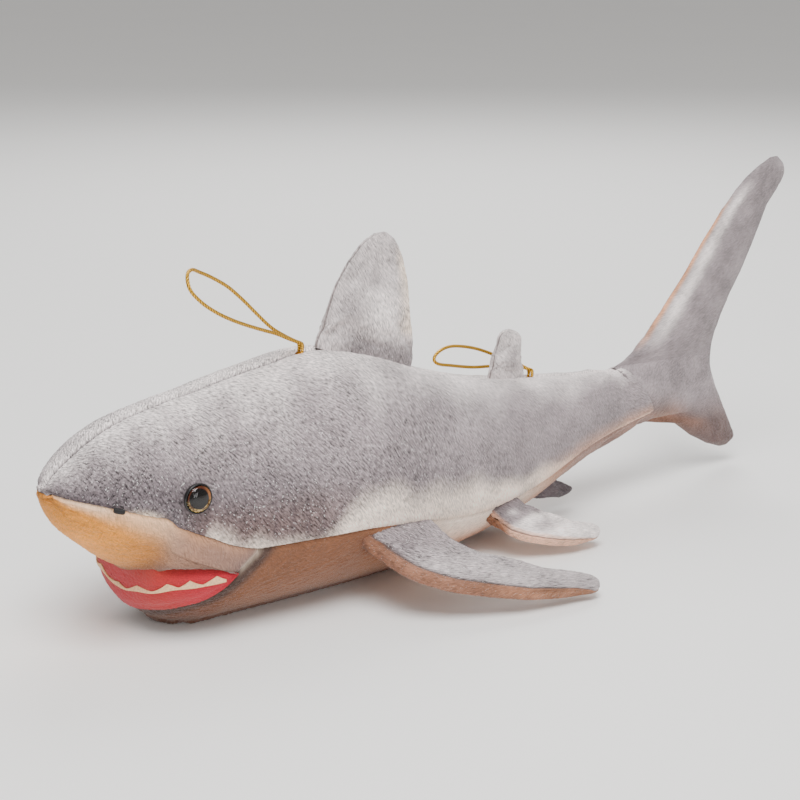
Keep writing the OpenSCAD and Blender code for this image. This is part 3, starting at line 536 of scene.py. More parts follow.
@node_material
def gold_thread(tree):
    """Metallised thread braided over elastic: diagonal strands about 0.7 mm wide that catch the light."""
    pile = add(tree, "Attribute", {"attribute_name": "pile"})
    strands = add(tree, "TexWave", {"wave_type": "BANDS", "bands_direction": "DIAGONAL", "Scale": 330.0,
                                    "Distortion": 1.5, "Detail": 2.0}, {"Vector": (pile, "Vector")})
    tone = add(tree, "Mix", {"data_type": "RGBA"}, {"Factor": (strands, "Fac")})
    tone.inputs[6].default_value = linear("#8A5A10")
    tone.inputs[7].default_value = shade(GOLD)
    bump = add(tree, "Bump", {"Strength": 0.8, "Distance": 0.0004}, {"Height": (strands, "Fac")})
    return add(tree, "BsdfPrincipled", {"Roughness": 0.36, "Metallic": 0.85},
               {"Base Color": (tone, 2), "Normal": (bump, "Normal")})


@node_material
def glitter_iris(tree):
    """Printed iris under the dome: amber above, gold glitter below, and a dark pupil."""
    base_colour = add(tree, "Attribute", {"attribute_name": "base_colour"})
    glow = add(tree, "Attribute", {"attribute_name": "glitter"})
    place = add(tree, "TexCoord")
    flakes = add(tree, "TexVoronoi", {"Scale": 1000.0}, {"Vector": (place, "Object")})
    part = add(tree, "SeparateColor", None, {"Color": (flakes, "Color")})
    lit = add(tree, "MapRange", {"From Min": 0.45, "From Max": 0.8}, {"Value": (part, "Red")})
    amount = add(tree, "Math", {"operation": "MULTIPLY"}, {0: (lit, "Result"), 1: (glow, "Fac")})
    tone = add(tree, "Mix", {"data_type": "RGBA", 7: linear("#FFE08A")},
               {"Factor": (amount, "Value"), 6: (base_colour, "Color")})
    return add(tree, "BsdfPrincipled", {"Roughness": 0.7, "Specular IOR Level": 0.0},
               {"Base Color": (tone, 2)})


@node_material
def clear_dome(tree):
    """Clear polished acrylic."""
    return add(tree, "BsdfPrincipled", {"Base Color": (1, 1, 1, 1), "Roughness": 0.02, "IOR": 1.49,
                                        "Specular IOR Level": 0.2, "Transmission Weight": 1.0})


def finish_piece(obj, mat, body, slot_name, nodes, fill=None):
    """Gives a piece its material, body, slot and the CAD nodes that it stands for."""
    obj.data.materials.append(mat)
    if body:
        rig.ride(obj, body)
    if nodes:
        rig.replaces(obj, *nodes)
    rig.slot(obj, slot_name)
    if fill is not None:
        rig.padded(obj, fill=fill)
    return obj


# ---------------------------------------------------------------- stuffing by cloth simulation

FRAMES = 20


def inflate(points, cap, pressure, seam_weight, pinned, shrink=0.1):
    """Blows up a closed tube of points as cloth and returns each point's shift, at most cap mm.
    Seams pull in because their edges are made shorter; pinned points stay."""
    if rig.quick():
        return np.zeros_like(points)
    n, m = points.shape[:2]
    ends = np.array([points[0].mean(0), points[-1].mean(0)])
    ring = np.arange(m)
    start = np.stack([np.full(m, n * m), np.roll(ring, -1), ring], -1)
    stop = np.stack([np.full(m, n * m + 1), ring + (n - 1) * m, np.roll(ring, -1) + (n - 1) * m], -1)
    obj = make_mesh("sim", np.concatenate([points.reshape(-1, 3), ends]),
                    [grid_faces(n, m, True), start, stop])
    volume = sum(p.center.dot(p.normal) * p.area for p in obj.data.polygons)
    if volume < 0:
        obj.data.flip_normals()
    for name, values in (("seam", seam_weight.ravel()), ("pin", pinned.ravel())):
        group = obj.vertex_groups.new(name=name)
        for level in np.unique(values.round(2)):
            if level > 0:
                group.add(np.flatnonzero(values.round(2) == level).tolist(), float(level), "REPLACE")
    obj.vertex_groups["pin"].add([n * m, n * m + 1], 1.0, "REPLACE")
    cloth = obj.modifiers.new("Cloth", "CLOTH")
    s = cloth.settings
    s.quality, s.mass, s.air_damping = 6, 0.2, 4.0
    s.tension_stiffness = s.compression_stiffness = 25.0
    s.shear_stiffness, s.bending_stiffness = 8.0, 1.5
    s.use_pressure, s.uniform_pressure_force = True, pressure
    s.vertex_group_mass, s.vertex_group_shrink = "pin", "seam"
    s.shrink_max = shrink
    s.effector_weights.gravity = 0
    scene = bpy.context.scene
    for f in range(1, FRAMES + 1):
        scene.frame_set(f)
    done = obj.evaluated_get(bpy.context.evaluated_depsgraph_get())
    co = np.zeros((n * m + 2) * 3, np.float32)
    done.data.vertices.foreach_get("co", co)
    shift = co.reshape(-1, 3)[:n * m].reshape(n, m, 3) / MM - points
    mesh = obj.data
    bpy.data.objects.remove(obj)
    bpy.data.meshes.remove(mesh)
    scene.frame_set(1)
    size = np.linalg.norm(shift, axis=-1, keepdims=True)
    return shift * np.minimum(1, cap / np.maximum(size, 1e-6))


SIM_U = np.linspace(0.25, LAST - 0.1, 84)
SIM_STEP = 6.0
SIM_A = np.arange(0, 360, SIM_STEP)
_body = {}


def body_shift(u, a):
    """How far the stuffed body stands from its pattern at section u and angle a."""
    if "shift" not in _body:
        uu, aa = np.meshgrid(SIM_U, SIM_A, indexing="ij")
        p = skin(uu, aa)
        fold = np.where(aa > 180, 360 - aa, aa)
        on_seam = np.maximum(spot(fold, 0, 5), np.exp(-((fold - seam(uu)) / 5) ** 2))
        pinned = np.where((p[..., 2] < 1.0) | (uu < 0.5) | (uu > LAST - 0.3), 1.0, 0.0)
        _body["shift"] = inflate(p, 2.5, 3.0, on_seam, pinned)
    x = (np.asarray(u, float) - SIM_U[0]) / (SIM_U[1] - SIM_U[0])
    y = (np.asarray(a, float) % 360) / SIM_STEP
    return sample(_body["shift"], np.clip(x, 0, len(SIM_U) - 1), y)


# ---------------------------------------------------------------- colour: where each colour is sprayed, and where shade and warm reflection are painted

GREY, DARK_GREY, PALE = "#93888A", "#4A4046", "#EBE1DE"
# Brown and tan are painted shade on cream panels, orange is painted warm reflection from the floor, and peach is
# painted warm reflection where it lies on the lower side
CREAM, PEACH_AND_REFLECTION, SHADE_TAN, SHADE_BROWN, REFLECTED_ORANGE = "#F9E3CB", "#DC9A6E", "#8E6045", "#6A432F", "#E89A42"
PALE_CREAM, LINING, GOLD = "#FBEADB", "#BC1A2E", "#F5C24A"
# The sprayed cream border on the side panel, as section and angle
CREAM_LINE = np.array([[0, 130], [7.8, 130], [8.1, 96], [8.4, 88.5], [9.65, 95], [10.1, 98], [10.9, 100],
    [11.2, 96], [11.45, 90], [11.8, 86.5], [12.4, 87], [13.5, 88], [14.6, 90], [16, 102],
    [17, 123], [19, 122]])
GILLS = [(10.11, 77.5, 95), (10.44, 79, 97), (10.70, 80, 97.5), (10.98, 82, 97.5)]


def flat(text, shape):
    """A grid of one colour."""
    return np.broadcast_to(np.array(shade(text)[:3]), (*shape, 3))


def layered(c, layers):
    """Mixes colours into c one after the other: a layer is a colour and its amount at each point."""
    for text, amount in layers:
        c = c + (np.array(shade(text)[:3]) - c) * np.clip(amount, 0, 1)[..., None]
    return c


def wobble(u, a, size, seed):
    """A slow sum of sines that keeps sprayed edges from running straight."""
    return size * (np.sin(u * 3.1 + seed) * 0.5 + np.sin(u * 7.3 + a * 0.09 + seed * 2) * 0.3
                   + np.sin(a * 0.21 + u * 1.7 + seed * 3) * 0.2)


def side_colour_and_painted_light(u, a):
    """Grey over the back and flanks, darker at the cheek and the snout seam, cream along the bottom.
    The fourth value is the shine: brushed up over the head and trunk, smooth towards the tail."""
    c = flat(GREY, u.shape)
    s = seam(u)
    c = layered(c, [
        # Lighter along the back: partly the grey dye, partly painted light from above
        (PALE, 0.80 * ease((58 - a + wobble(u, a, 12, 1)) / 60)),
        (DARK_GREY, 0.62 * ease((a - 50) / 30) * ease((11.8 - u) / 2.2) * ease(u / 1.2)),
        (DARK_GREY, 0.30 * ease((a - 60) / 25) * ease((15 - u) / 2) * ease((u - 10) / 1.5)),
        (DARK_GREY, 0.75 * spot(s, a, 6.0) * ease((4.6 - u) / 0.6)),
        # Brown on the lower head, under the jaw, is painted shade
        (SHADE_BROWN, 0.35 * ease((a - 70) / 20) * ease((12.2 - u) / 1.5) * ease((u - 6.5) / 2))])
    edge = np.interp(u, CREAM_LINE[:, 0], CREAM_LINE[:, 1])
    pale = ease((a - edge + 7 + wobble(u, a, 4.0, 2)) / 17)
    c = layered(c, [
        (PALE_CREAM, pale),
        (CREAM, 0.75 * np.exp(-((u - 5.3) / 0.5) ** 2 - ((s - a) / 3.5) ** 2)),
        # Peach along the lower flanks and the tail's lower side is painted warm reflection from the floor
        (PEACH_AND_REFLECTION, 0.55 * ease((a - edge - 14) / 20) * ease((u - 12.0) / 2)),
        (PEACH_AND_REFLECTION, 0.5 * ease((a - s + 34) / 34) * ease((u - 15.2) / 1.4))])
    for gu, a0, a1 in GILLS:
        c = layered(c, [(DARK_GREY, 0.40 * spot(u, gu, 0.035) * ease((a - a0 + 3) / 4)
                        * ease((a1 + 3 - a) / 4))])
    # Dark along the back seam: partly the stitching, partly painted shade in the seam's crease
    c = layered(c, [(DARK_GREY, 0.85 * np.exp(-(around_mm(u, a) / 0.8) ** 2) * ease((13 - u) / 1.5))])
    shine = (0.25 + 0.75 * ease((15.4 - u) / 2.4)) * (1 - 0.72 * pale)
    return with_alpha(c, shine)


def snout_colour_and_painted_light(u, a, lip_mm):
    """Cream by the seam, warm orange under the nose, tan and brown towards the lip and the corner."""
    # The orange base is painted warm reflection: the panel is cream
    c = flat(REFLECTED_ORANGE, u.shape)
    s = seam(u)
    c = layered(c, [
        # Tan, brown and grey are painted shade under the head and the upper lip
        (SHADE_TAN, 0.70 * ease((u - 4.0) / 3.0) * ease((a - s + 4) / 12)),
        (CREAM, (0.45 + 0.2 * ease((4.4 - u) / 1)) * ease(1 - (a - s) / (14 + 2.5 * u))
            * ease((8.0 - u) / 2.4)),
        (SHADE_BROWN, 0.75 * spot(lip_mm, 0, 7) * ease((u - 4.6) / 1.2)),
        (SHADE_BROWN, 0.45 * ease((u - 7.2) / 1.6)),
        (GREY, 0.40 * ease((u - 5.6) / 1.8)),
        (CREAM, 0.35 * spot(lip_mm, 0, 1.8) * ease((u - 9.3) / 0.1))])
    return with_alpha(c, 0.12)


def belly_colour_and_painted_light(u, a, lip_mm):
    """Dark beside the lip, brown under the throat and belly, and cream and peach beside the seam from the
    pectoral fins back."""
    # Brown, tan and the dark beside the lip are painted shade: the panel is cream
    c = flat(SHADE_BROWN, u.shape)
    c = layered(c, [
        (SHADE_TAN, 0.55 * ease((u - 8.6) / 1.6)),
        ("#4A3A34", 0.95 * ease((13 - lip_mm) / 8)),
        (CREAM, 0.35 * spot(lip_mm, 0, 1.8) * ease((u - 9.3) / 0.1))])
    low = (a - seam(u)) / np.maximum(8, 180 - seam(u))
    c = layered(c, [
        # Peach is painted warm reflection from the floor
        (PEACH_AND_REFLECTION, 0.80 * ease((u - 11.6) / 1.4) * ease(1 - low / 1.1)),
        (GREY, 0.65 * ease((u - 15.5) / 1.5)),
        (PALE_CREAM, 0.9 * ease((u - 12.4) / 1.2) * ease(1 - low / 0.5) * ease((16.6 - u) / 1.5))])
    return with_alpha(c, 0.15)


def with_alpha(c, shine=0.2):
    """Adds the shine to a colour."""
    return np.concatenate([c, np.broadcast_to(shine, c.shape[:-1])[..., None]], -1)


def arc_length(p, axis):
    """Length from the first point to each point, along one direction of a grid or a path."""
    steps = np.linalg.norm(np.diff(p, axis=axis), axis=-1)
    return np.insert(np.cumsum(steps, axis), 0, 0, axis)


def combed(p, turn):
    """Arc lengths along and across a grid in metres, turned so that the pile lies along X."""
    along, over = arc_length(p, 0), arc_length(p, 1)
    mid = along.mean(1, keepdims=True) + 0 * along
    c, s = math.cos(math.radians(turn)), math.sin(math.radians(turn))
    return np.stack([mid * c + over * s, over * c - mid * s, 0 * mid], -1) * MM


# ---------------------------------------------------------------- panels of the body

def sewn(u, a, side, edge_a, edge_b, relief_seed):
    """Points of a body panel: skin plus stuffing shift, rolled in 1.6 mm where a panel meets a seam, with
    the gills pressed in and combed pile standing up. edge_a and edge_b are distances to seams in mm."""
    p = skin(u, side * a)
    p = p + body_shift(u, side * a)
    n = normals(p)
    out = np.sign((n * (p - p.mean(axis=(0, 1)))).sum(-1).mean())
    n = n * out
    near = np.minimum(edge_a, edge_b)
    roll = -1.6 * spot(edge_a, 0, 1.5) - 1.0 * spot(edge_b, 0, 1.5)
    pucker = -0.35 * spot(near, 0, 4.5) * (0.5 + 0.5 * np.sin(p[..., 0] / 3.2 * 2 * np.pi))
    gill = sum(-0.9 * spot(u, gu, 0.05) * ease((a - a0 + 2) / 4) * ease((a1 + 2 - a) / 4)
               for gu, a0, a1 in GILLS)
    pile = look().pile_height / MM * pile_relief(u.shape, relief_seed) * (1 - spot(near, 0, 1.2))
    p = p + n * (roll + pucker + gill + pile)[..., None]
    p[..., 2] = np.maximum(p[..., 2], 0.1)
    return p


def around_mm(u, da):
    """Length on the skin of an angle step da at section u."""
    return np.radians(np.abs(da)) * np.maximum(3, section(u)[5])


def body_blend(obj):
    """The panel bends with the tail over 28 mm to each side of the hinge."""
    joint = next(j for j in frame["joints"] if j["name"] == "tail_swing")
    x, _, z = joint["pos_m"]
    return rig.blend(obj, "torso", "tail", start=(x - 0.028, 0, z), end=(x + 0.028, 0, z))


def turned_in(u, a, p):
    """Adds a row that turns the panel's rear hem in towards the middle of the tail, inside the tail fin."""
    middle = (skin(LAST, 0) + skin(LAST, 180)) / 2
    hem = p[-1:] + (middle - p[-1:]) * 0.6
    return np.concatenate([u, u[-1:]]), np.concatenate([a, a[-1:]]), np.concatenate([p, hem])


def side_panel(side, name, seed):
    """Side panel: section 0 to the tail's end, from the back seam down to the side seam."""
    u, v = np.meshgrid(np.concatenate([np.linspace(FIRST, 4, 90), np.linspace(4.03, LAST, 330)]),
                       np.linspace(0, 1, 96), indexing="ij")
    a = 0.15 + (seam(u) - 0.3) * v
    p = sewn(u, a, side, around_mm(u, a), around_mm(u, seam(u) - a), seed)
    u, a, p = turned_in(u, a, p)
    return make_mesh(name, p, grid_faces(*u.shape),
                     {"base_colour": side_colour_and_painted_light(u, a), "pile": combed(p, 55)}, flip=side < 0)


def snout_panel():
    """Snout panel: one piece from seam to seam under the nose, back to the upper lip."""
    p_, q = np.meshgrid(np.linspace(0, 1, 150), np.linspace(-1, 1, 201), indexing="ij")
    end = lip(UPPER_LIP, np.abs(q))
    u = FIRST + (end[..., 0] - FIRST) * p_
    h1 = (180 - end[..., 1]) / (180 - seam(end[..., 0]))
    h = np.abs(q) + p_ * (h1 - np.abs(q))
    a = 180 - (180 - seam(u) - 0.2) * h
    side = np.where(q < 0, -1.0, 1.0)
    hem = np.linalg.norm(skin(u, a) - skin(end[..., 0], end[..., 1]), axis=-1)
    p = sewn(u, a, side, around_mm(u, a - seam(u)), hem, 3)
    return make_mesh("snout_skin", p, grid_faces(*u.shape),
                     {"base_colour": snout_colour_and_painted_light(u, a, hem), "pile": combed(p, 20)}, flip=True)


def belly_panel():
    """Belly panel: from the lower lip back under the whole body to the tail's end."""
    p_, q = np.meshgrid(np.linspace(0, 1, 300), np.linspace(-1, 1, 181), indexing="ij")
    end = lip(LOWER_LIP, np.abs(q))
    u = end[..., 0] + (LAST - end[..., 0]) * p_
    h1 = (180 - end[..., 1]) / (180 - seam(end[..., 0]))
    h = h1 + (np.abs(q) - h1) * ease(p_ / 0.35)
    a = 180 - (180 - seam(u) - 0.2) * h
    side = np.where(q < 0, -1.0, 1.0)
    hem = np.linalg.norm(skin(u, a) - skin(end[..., 0], end[..., 1]), axis=-1)
    p = sewn(u, a, side, around_mm(u, a - seam(u)), hem, 4)
    u, a, p = turned_in(u, a, p)
    hem = np.concatenate([hem, hem[-1:]])
    return make_mesh("belly_skin", p, grid_faces(*u.shape),
                     {"base_colour": belly_colour_and_painted_light(u, a, hem), "pile": combed(p, 10)}, flip=True)


# ---------------------------------------------------------------- mouth

TOOTH_LINE = 0.34
TEETH_A_SIDE = 5


def mouth_point(q, r, depth):
    """A point in the mouth: share r of the way from the upper lip to the lower lip, depth mm inside."""
    top, low = lip(UPPER_LIP, np.abs(q)), lip(LOWER_LIP, np.abs(q))
    m = top + (low - top) * r[..., None]
    return skin(m[..., 0], np.sign(q + 1e-9) * m[..., 1], depth)


def mouth_depth(q, r):
    """Deep under the upper lip, out to the row of teeth, then a plump gum down to the lower lip."""
    fade = np.clip(1 - (np.abs(q) / Q_CORNER) ** 3, 0, 1)
    under = 8.5 * (1 - ease(r / TOOTH_LINE)) * fade
    gum = 1.0 - 1.6 * np.sin(np.pi * np.clip((r - TOOTH_LINE) / (1 - TOOTH_LINE), 0, 1)) * fade
    return 0.9 + under + gum * (1 - 0.9 * ease((r - 0.75) / 0.25))


def mouth_lining(name, r0, r1, slot_nodes):
    """One pink panel of the lining, from share r0 to r1 of the gap between the lips."""
    r, q = np.meshgrid(np.linspace(r0, r1, 60), np.linspace(-Q_CORNER, Q_CORNER, 220), indexing="ij")
    p = mouth_point(q, r, mouth_depth(q, r))
    c = flat(LINING, r.shape)
    # Darker red under the upper lip is painted shade in the recess; it is darker either side of the middle as well
    c = layered(c, [("#A82A20", 0.8 * ease(1 - r / TOOTH_LINE) + 0.6 * spot(np.abs(q), 0.25, 0.2))])
    p = p + normals(p) * (0.08 * pile_relief(r.shape, 11))[..., None]
    obj = make_mesh(name, p, grid_faces(*r.shape), {"base_colour": with_alpha(c)}, flip=True)
    return finish_piece(obj, brushed_knit("brushed_knit"), "torso", "pink_lining", slot_nodes)


def teeth():
    """Felt zigzag 1 mm thick: a foot along the tooth line, and points whose height grows to the corners.
    The sheet is carried up from the foot along the gap between the lips, and closed round its edges."""
    n, across = 401, 10
    t = np.linspace(-1, 1, n)
    q = t * Q_CORNER * 0.84
    phase = np.abs(t) * (TEETH_A_SIDE - 0.5) + 0.5 + 0.10 * np.sin(t * 11)
    saw = 1 - np.abs(2 * (phase % 1) - 1)
    height = 0.1 + (1.8 + 2.6 * np.abs(t)) * saw ** 1.3 * (1 - 0.5 * np.abs(t) ** 9)
    foot = mouth_point(q, np.full(n, TOOTH_LINE + 0.05), np.full(n, 0.9))
    side = unit(np.gradient(foot, axis=0))
    away = unit(np.cross(side, [0, 0, 1.0]))
    away *= np.where((away * (foot - np.array([-200, 0, 0]))).sum(1, keepdims=True) < 0, -1, 1)
    lift = np.linspace(0, 1, across)[:, None, None]
    front = foot - np.array([0, 0, 1.6]) + lift * (height[:, None] + 0.9) * np.array([0, 0, 1.0]) + away * 0.5
    back = front - away * 1.0
    ring = np.concatenate([front, back[::-1]])
    obj = make_mesh("tooth_strip_felt", ring.transpose(1, 0, 2), grid_faces(n, 2 * across, True), flip=True)
    return finish_piece(obj, fibres("pressed_felt", "#E8BE92", 900, 0.95, 0.25), "torso", "cream_felt",
                        ["tooth_strip"])


# ---------------------------------------------------------------- fins

def drooping(angle):
    """The direction out to the left and down by an angle in degrees."""
    return [0, -math.cos(math.radians(angle)), -math.sin(math.radians(angle))]


def root_frame(u0, u1, a, out, base, reach, thick):
    """A fin's frame on the body: origin, along the root, outwards, across, root length, reach and
    half-thickness."""
    o = skin(u0, a)
    e1 = unit(skin(u1, a) - o)
    e2 = unit(np.array(out) - (np.array(out) @ e1) * e1)
    t = np.linspace(0, 1, 11)
    lift = ((skin(u0 + (u1 - u0) * t, a) - o) @ e2).max()
    return o + e2 * (lift + MOVE_GAP / 2), e1, e2, np.cross(e2, e1), base, reach, thick / 2


# Each fin's outline, its frame on the body, and how deep its root is buried in mm
FINS = {
    "first_dorsal": (DORSAL, root_frame(12.1, 13.9, 0, [0, 0, 1], 68, 67, 16), 5),
    "second_dorsal": (DORSAL2, root_frame(15.4, 16.02, 0, [0, 0, 1], 26, 27, 10), 4),
    "anal": (ANAL, root_frame(16.15, 16.75, 180, [0, 0, -1], 24, 20, 8), 4),
    "pectoral": (PECTORAL, root_frame(11.75, 13.2, 110, drooping(21), 52, 79, 13), 6),
    "pelvic": (PELVIC, root_frame(14.55, 15.3, 122, drooping(29), 30, 43, 11), 6),
}

# Power of the sine round each fin's section: the lower it is, the fuller the sewn edge
BLUNT = {"first_dorsal": 0.8, "second_dorsal": 0.7, "anal": 0.7, "pectoral": 0.5, "pelvic": 0.55}
# Place round the section of the front seam: the lower panel comes up over the leading edge
FRONT_SEAM = {"first_dorsal": 0.0, "second_dorsal": 0.0, "anal": 0.0, "pectoral": 0.11, "pelvic": 0.06}
# How far each fin's pile is brushed up: its tufts' contrast and its share of painted glints
SHINE = {"first_dorsal": 0.65, "second_dorsal": 0.5, "anal": 0.1, "pectoral": 1.0, "pelvic": 0.3}


def fin_grid(kind, rows, columns):
    """A stuffed fin: an ellipse across the chord at each share of the reach, from inside the body to the
    tip. Returns the points, the share of the reach and the place round the section, which is 0 and 0.5 at
    the edges."""
    table, (o, e1, e2, e3, base, reach, half), bury = FINS[kind]
    v = np.concatenate([np.linspace(-bury / reach, 0, 6)[:-1], 1 - (1 - np.linspace(0, 1, rows)) ** 1.35])
    w = np.arange(columns) / columns
    vv, ww = np.meshgrid(v, w, indexing="ij")
    r = row_at(table, np.clip(vv, 0, 1))
    x = 0.5 - 0.5 * np.cos(2 * np.pi * ww)
    tip = np.sqrt(np.clip(1 - np.clip((vv - 0.9) / 0.1, 0, 1) ** 2, 0.0, 1))
    turn = np.sin(2 * np.pi * ww)
    h = r[..., 3] * half * np.sign(turn) * np.abs(turn) ** BLUNT[kind] * (0.2 + 0.8 * tip)
    mid = (r[..., 1] + r[..., 2]) / 2
    chord = mid + (r[..., 1] + (r[..., 2] - r[..., 1]) * x - mid) * (0.35 + 0.65 * tip ** 0.6)
    p = o + e1 * (chord * base)[..., None] + e2 * (vv * reach)[..., None] + e3 * h[..., None]
    return p, vv, ww


def seam_distance(w, at):
    """Distance round the section, in turns, from place w to a seam."""
    d = np.abs(w - at) % 1
    return np.minimum(d, 1 - d)


def fin_colour_and_painted_light(kind, v, w):
    """Each fin's sprayed colours by share of the reach v and place round the section w, below 0.5 on top."""
    shape = v.shape
    x = 0.5 - 0.5 * np.cos(2 * np.pi * w)
    seam_at = FRONT_SEAM[kind]
    top = (w >= seam_at) & (w <= 0.5)
    c = flat(GREY, shape)
    shine = np.full(shape, SHINE[kind])
    if kind == "first_dorsal":
        c = layered(c, [
            (PALE, 0.45 + 0.45 * np.exp(-((x - 0.6) / 0.28) ** 2 - ((v - 0.35) / 0.25) ** 2)),
            (DARK_GREY, 0.38 * np.exp(-((x - 0.42) / 0.22) ** 2 - ((v - 0.60) / 0.10) ** 2)),
            (DARK_GREY, 0.42 * np.exp(-((x - 0.22) / 0.16) ** 2 - ((v - 0.30) / 0.12) ** 2)),
            (CREAM, 0.75 * ease((x - 0.68) / 0.25) * ease((v - 0.15) / 0.12) * ease((0.95 - v) / 0.2)),
            (DARK_GREY, 0.60 * ease(1 - v / 0.2) * ease((x - 0.1) / 0.25))])
    elif kind == "second_dorsal":
        c = layered(c, [
            (PALE, 0.5 + 0.2 * v),
            (DARK_GREY, 0.45 * np.exp(-((x - 0.5) / 0.2) ** 2 - ((v - 0.35) / 0.3) ** 2))])
    elif kind == "anal":
        # Darker all over: painted shade under the tail
        c = layered(c, [(DARK_GREY, 0.6 + 0 * v)])
    elif kind == "pectoral":
        c = layered(c, [
            (PALE, 0.25 * ease((v - 0.15) / 0.3)),
            (DARK_GREY, 0.35 * np.exp(-((x - 0.35) / 0.3) ** 2 - ((v - 0.12) / 0.1) ** 2))])
        # The lower panel is cream: its brown is painted shade, and the peach towards the tip painted warm reflection
        low = flat("#8E6450", shape)
        low = layered(low, [
            (SHADE_BROWN, 0.5 * ease(1 - v / 0.4)),
            (PEACH_AND_REFLECTION, 0.25 * ease((v - 0.6) / 0.4))])
        c = np.where(top[..., None], c, low)
        shine = np.where(top, shine, 0.35)
    elif kind == "pelvic":
        c = layered(c, [
            ("#FFF4F0", 0.9 * ease((v - 0.2) / 0.14)),
            (DARK_GREY, 0.45 * ease(1 - v / 0.24)),
            (PALE, 0.5 * np.exp(-((v - 0.09) / 0.05) ** 2 - ((x - 0.45) / 0.12) ** 2)),
            (GREY, 0.75 * np.exp(-((v - 0.50) / 0.13) ** 2 - ((x - 0.42) / 0.26) ** 2)),
            # Peach is painted warm reflection, and brown under the root painted shade
            (PEACH_AND_REFLECTION, np.where(top, 0.5 * ease((0.2 - x) / 0.12), 0.75)),
            (SHADE_BROWN, 0.85 * np.where(top, 0, ease(1 - v / 0.45)))])
    seam_line = np.minimum(seam_distance(w, seam_at), np.abs(w - 0.5))
    c = layered(c, [("#3E2C28", 0.75 * spot(seam_line, 0, 0.012))])
    return with_alpha(c, shine)


_fins = {}


def fin_shape(kind):
    """The stuffed fin: simulated once on a coarse grid and read back on the fine one."""
    if kind not in _fins:
        rows, columns = 26, 36
        p, v, w = fin_grid(kind, rows, columns)
        at = FRONT_SEAM[kind]
        edge = np.exp(-(np.minimum(seam_distance(w, at), np.abs(w - 0.5)) / 0.03) ** 2)
        pinned = np.where(v < 0.04, 1.0, 0.0)
        shift = inflate(p, 2.2, 2.5, edge, pinned, shrink=0.12)
        fine, vf, wf = fin_grid(kind, 100, 168)
        xs = np.interp(vf[:, 0], v[:, 0], np.arange(len(v)))[:, None] + 0 * vf
        fine = fine + sample(shift, xs, wf * columns) * (1 - ease((vf - 0.6) / 0.3))[..., None]
        n = normals(fine, True)
        n = n * np.sign((n * (fine - fine.mean(axis=(0, 1)))).sum(-1).mean())
        middle = fine.shape[1] // 2
        span = np.linalg.norm(fine[:, :1] - fine[:, middle:middle + 1], axis=-1)
        near = np.minimum(seam_distance(wf, at), np.abs(wf - 0.5)) * span * 2.2
        relief = (-0.8 * spot(near, 0, 1.1) + 0.14 * pile_relief(vf.shape, 20 + len(_fins))
                  * (1 - spot(near, 0, 1.2)))
        _fins[kind] = fine + n * relief[..., None], vf, wf
    return _fins[kind]


def fin_half_panel(kind, name, first, mirror, body, nodes, slot_name):
    """One panel of a fin's cover: the half of the section from w 0 to 0.5, or from 0.5 to 1."""
    p, v, w = fin_shape(kind)
    m = p.shape[1]
    start = round(FRONT_SEAM[kind] * m)
    cols = np.arange(start, m // 2 + 1) if first else np.arange(m // 2, m + start + 1) % m
    ww = w[:, cols].copy()
    if not first and start == 0:
        ww[:, -1] = 1.0
    q, vv = p[:, cols].copy(), v[:, cols]
    q = np.concatenate([q, np.broadcast_to((q[-1:, :1] + q[-1:, -1:]) / 2, q[-1:].shape)])
    vv, ww = np.concatenate([vv, vv[-1:]]), np.concatenate([ww, ww[-1:]])
    if mirror:
        q[..., 1] *= -1
    if body != "torso" and kind in ("pectoral", "pelvic", "anal"):
        q[..., 2] = np.maximum(q[..., 2], 0.1)
    n = normals(q)
    out = (n * (q - p.mean(axis=(0, 1)) * ([1, -1, 1] if mirror else [1, 1, 1]))).sum(-1).mean()
    obj = make_mesh(name, q, grid_faces(*vv.shape), {"base_colour": fin_colour_and_painted_light(kind, vv, ww),
                                                    "pile": combed(q, 25)}, flip=out > 0)
    o, e1, e2, _, base, reach, _ = FINS[kind][1]
    side = np.array([1, -1 if mirror else 1, 1])
    middle = (o + e1 * base / 2) * side
    span = 0.16 * reach * e2 * side
    mat = velboa("velboa_fin", 0.016, 0.22)
    finish_piece(obj, mat, None, slot_name, nodes)
    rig.blend(obj, "torso", body, start=tuple((middle - span * 0.2) * MM), end=tuple((middle + span) * MM))
    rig.padded(obj, fill=0.8)
    return obj


# ---------------------------------------------------------------- tail fin

ROOT_TOP, ROOT_LOW = skin(LAST, 0), skin(LAST, 180)


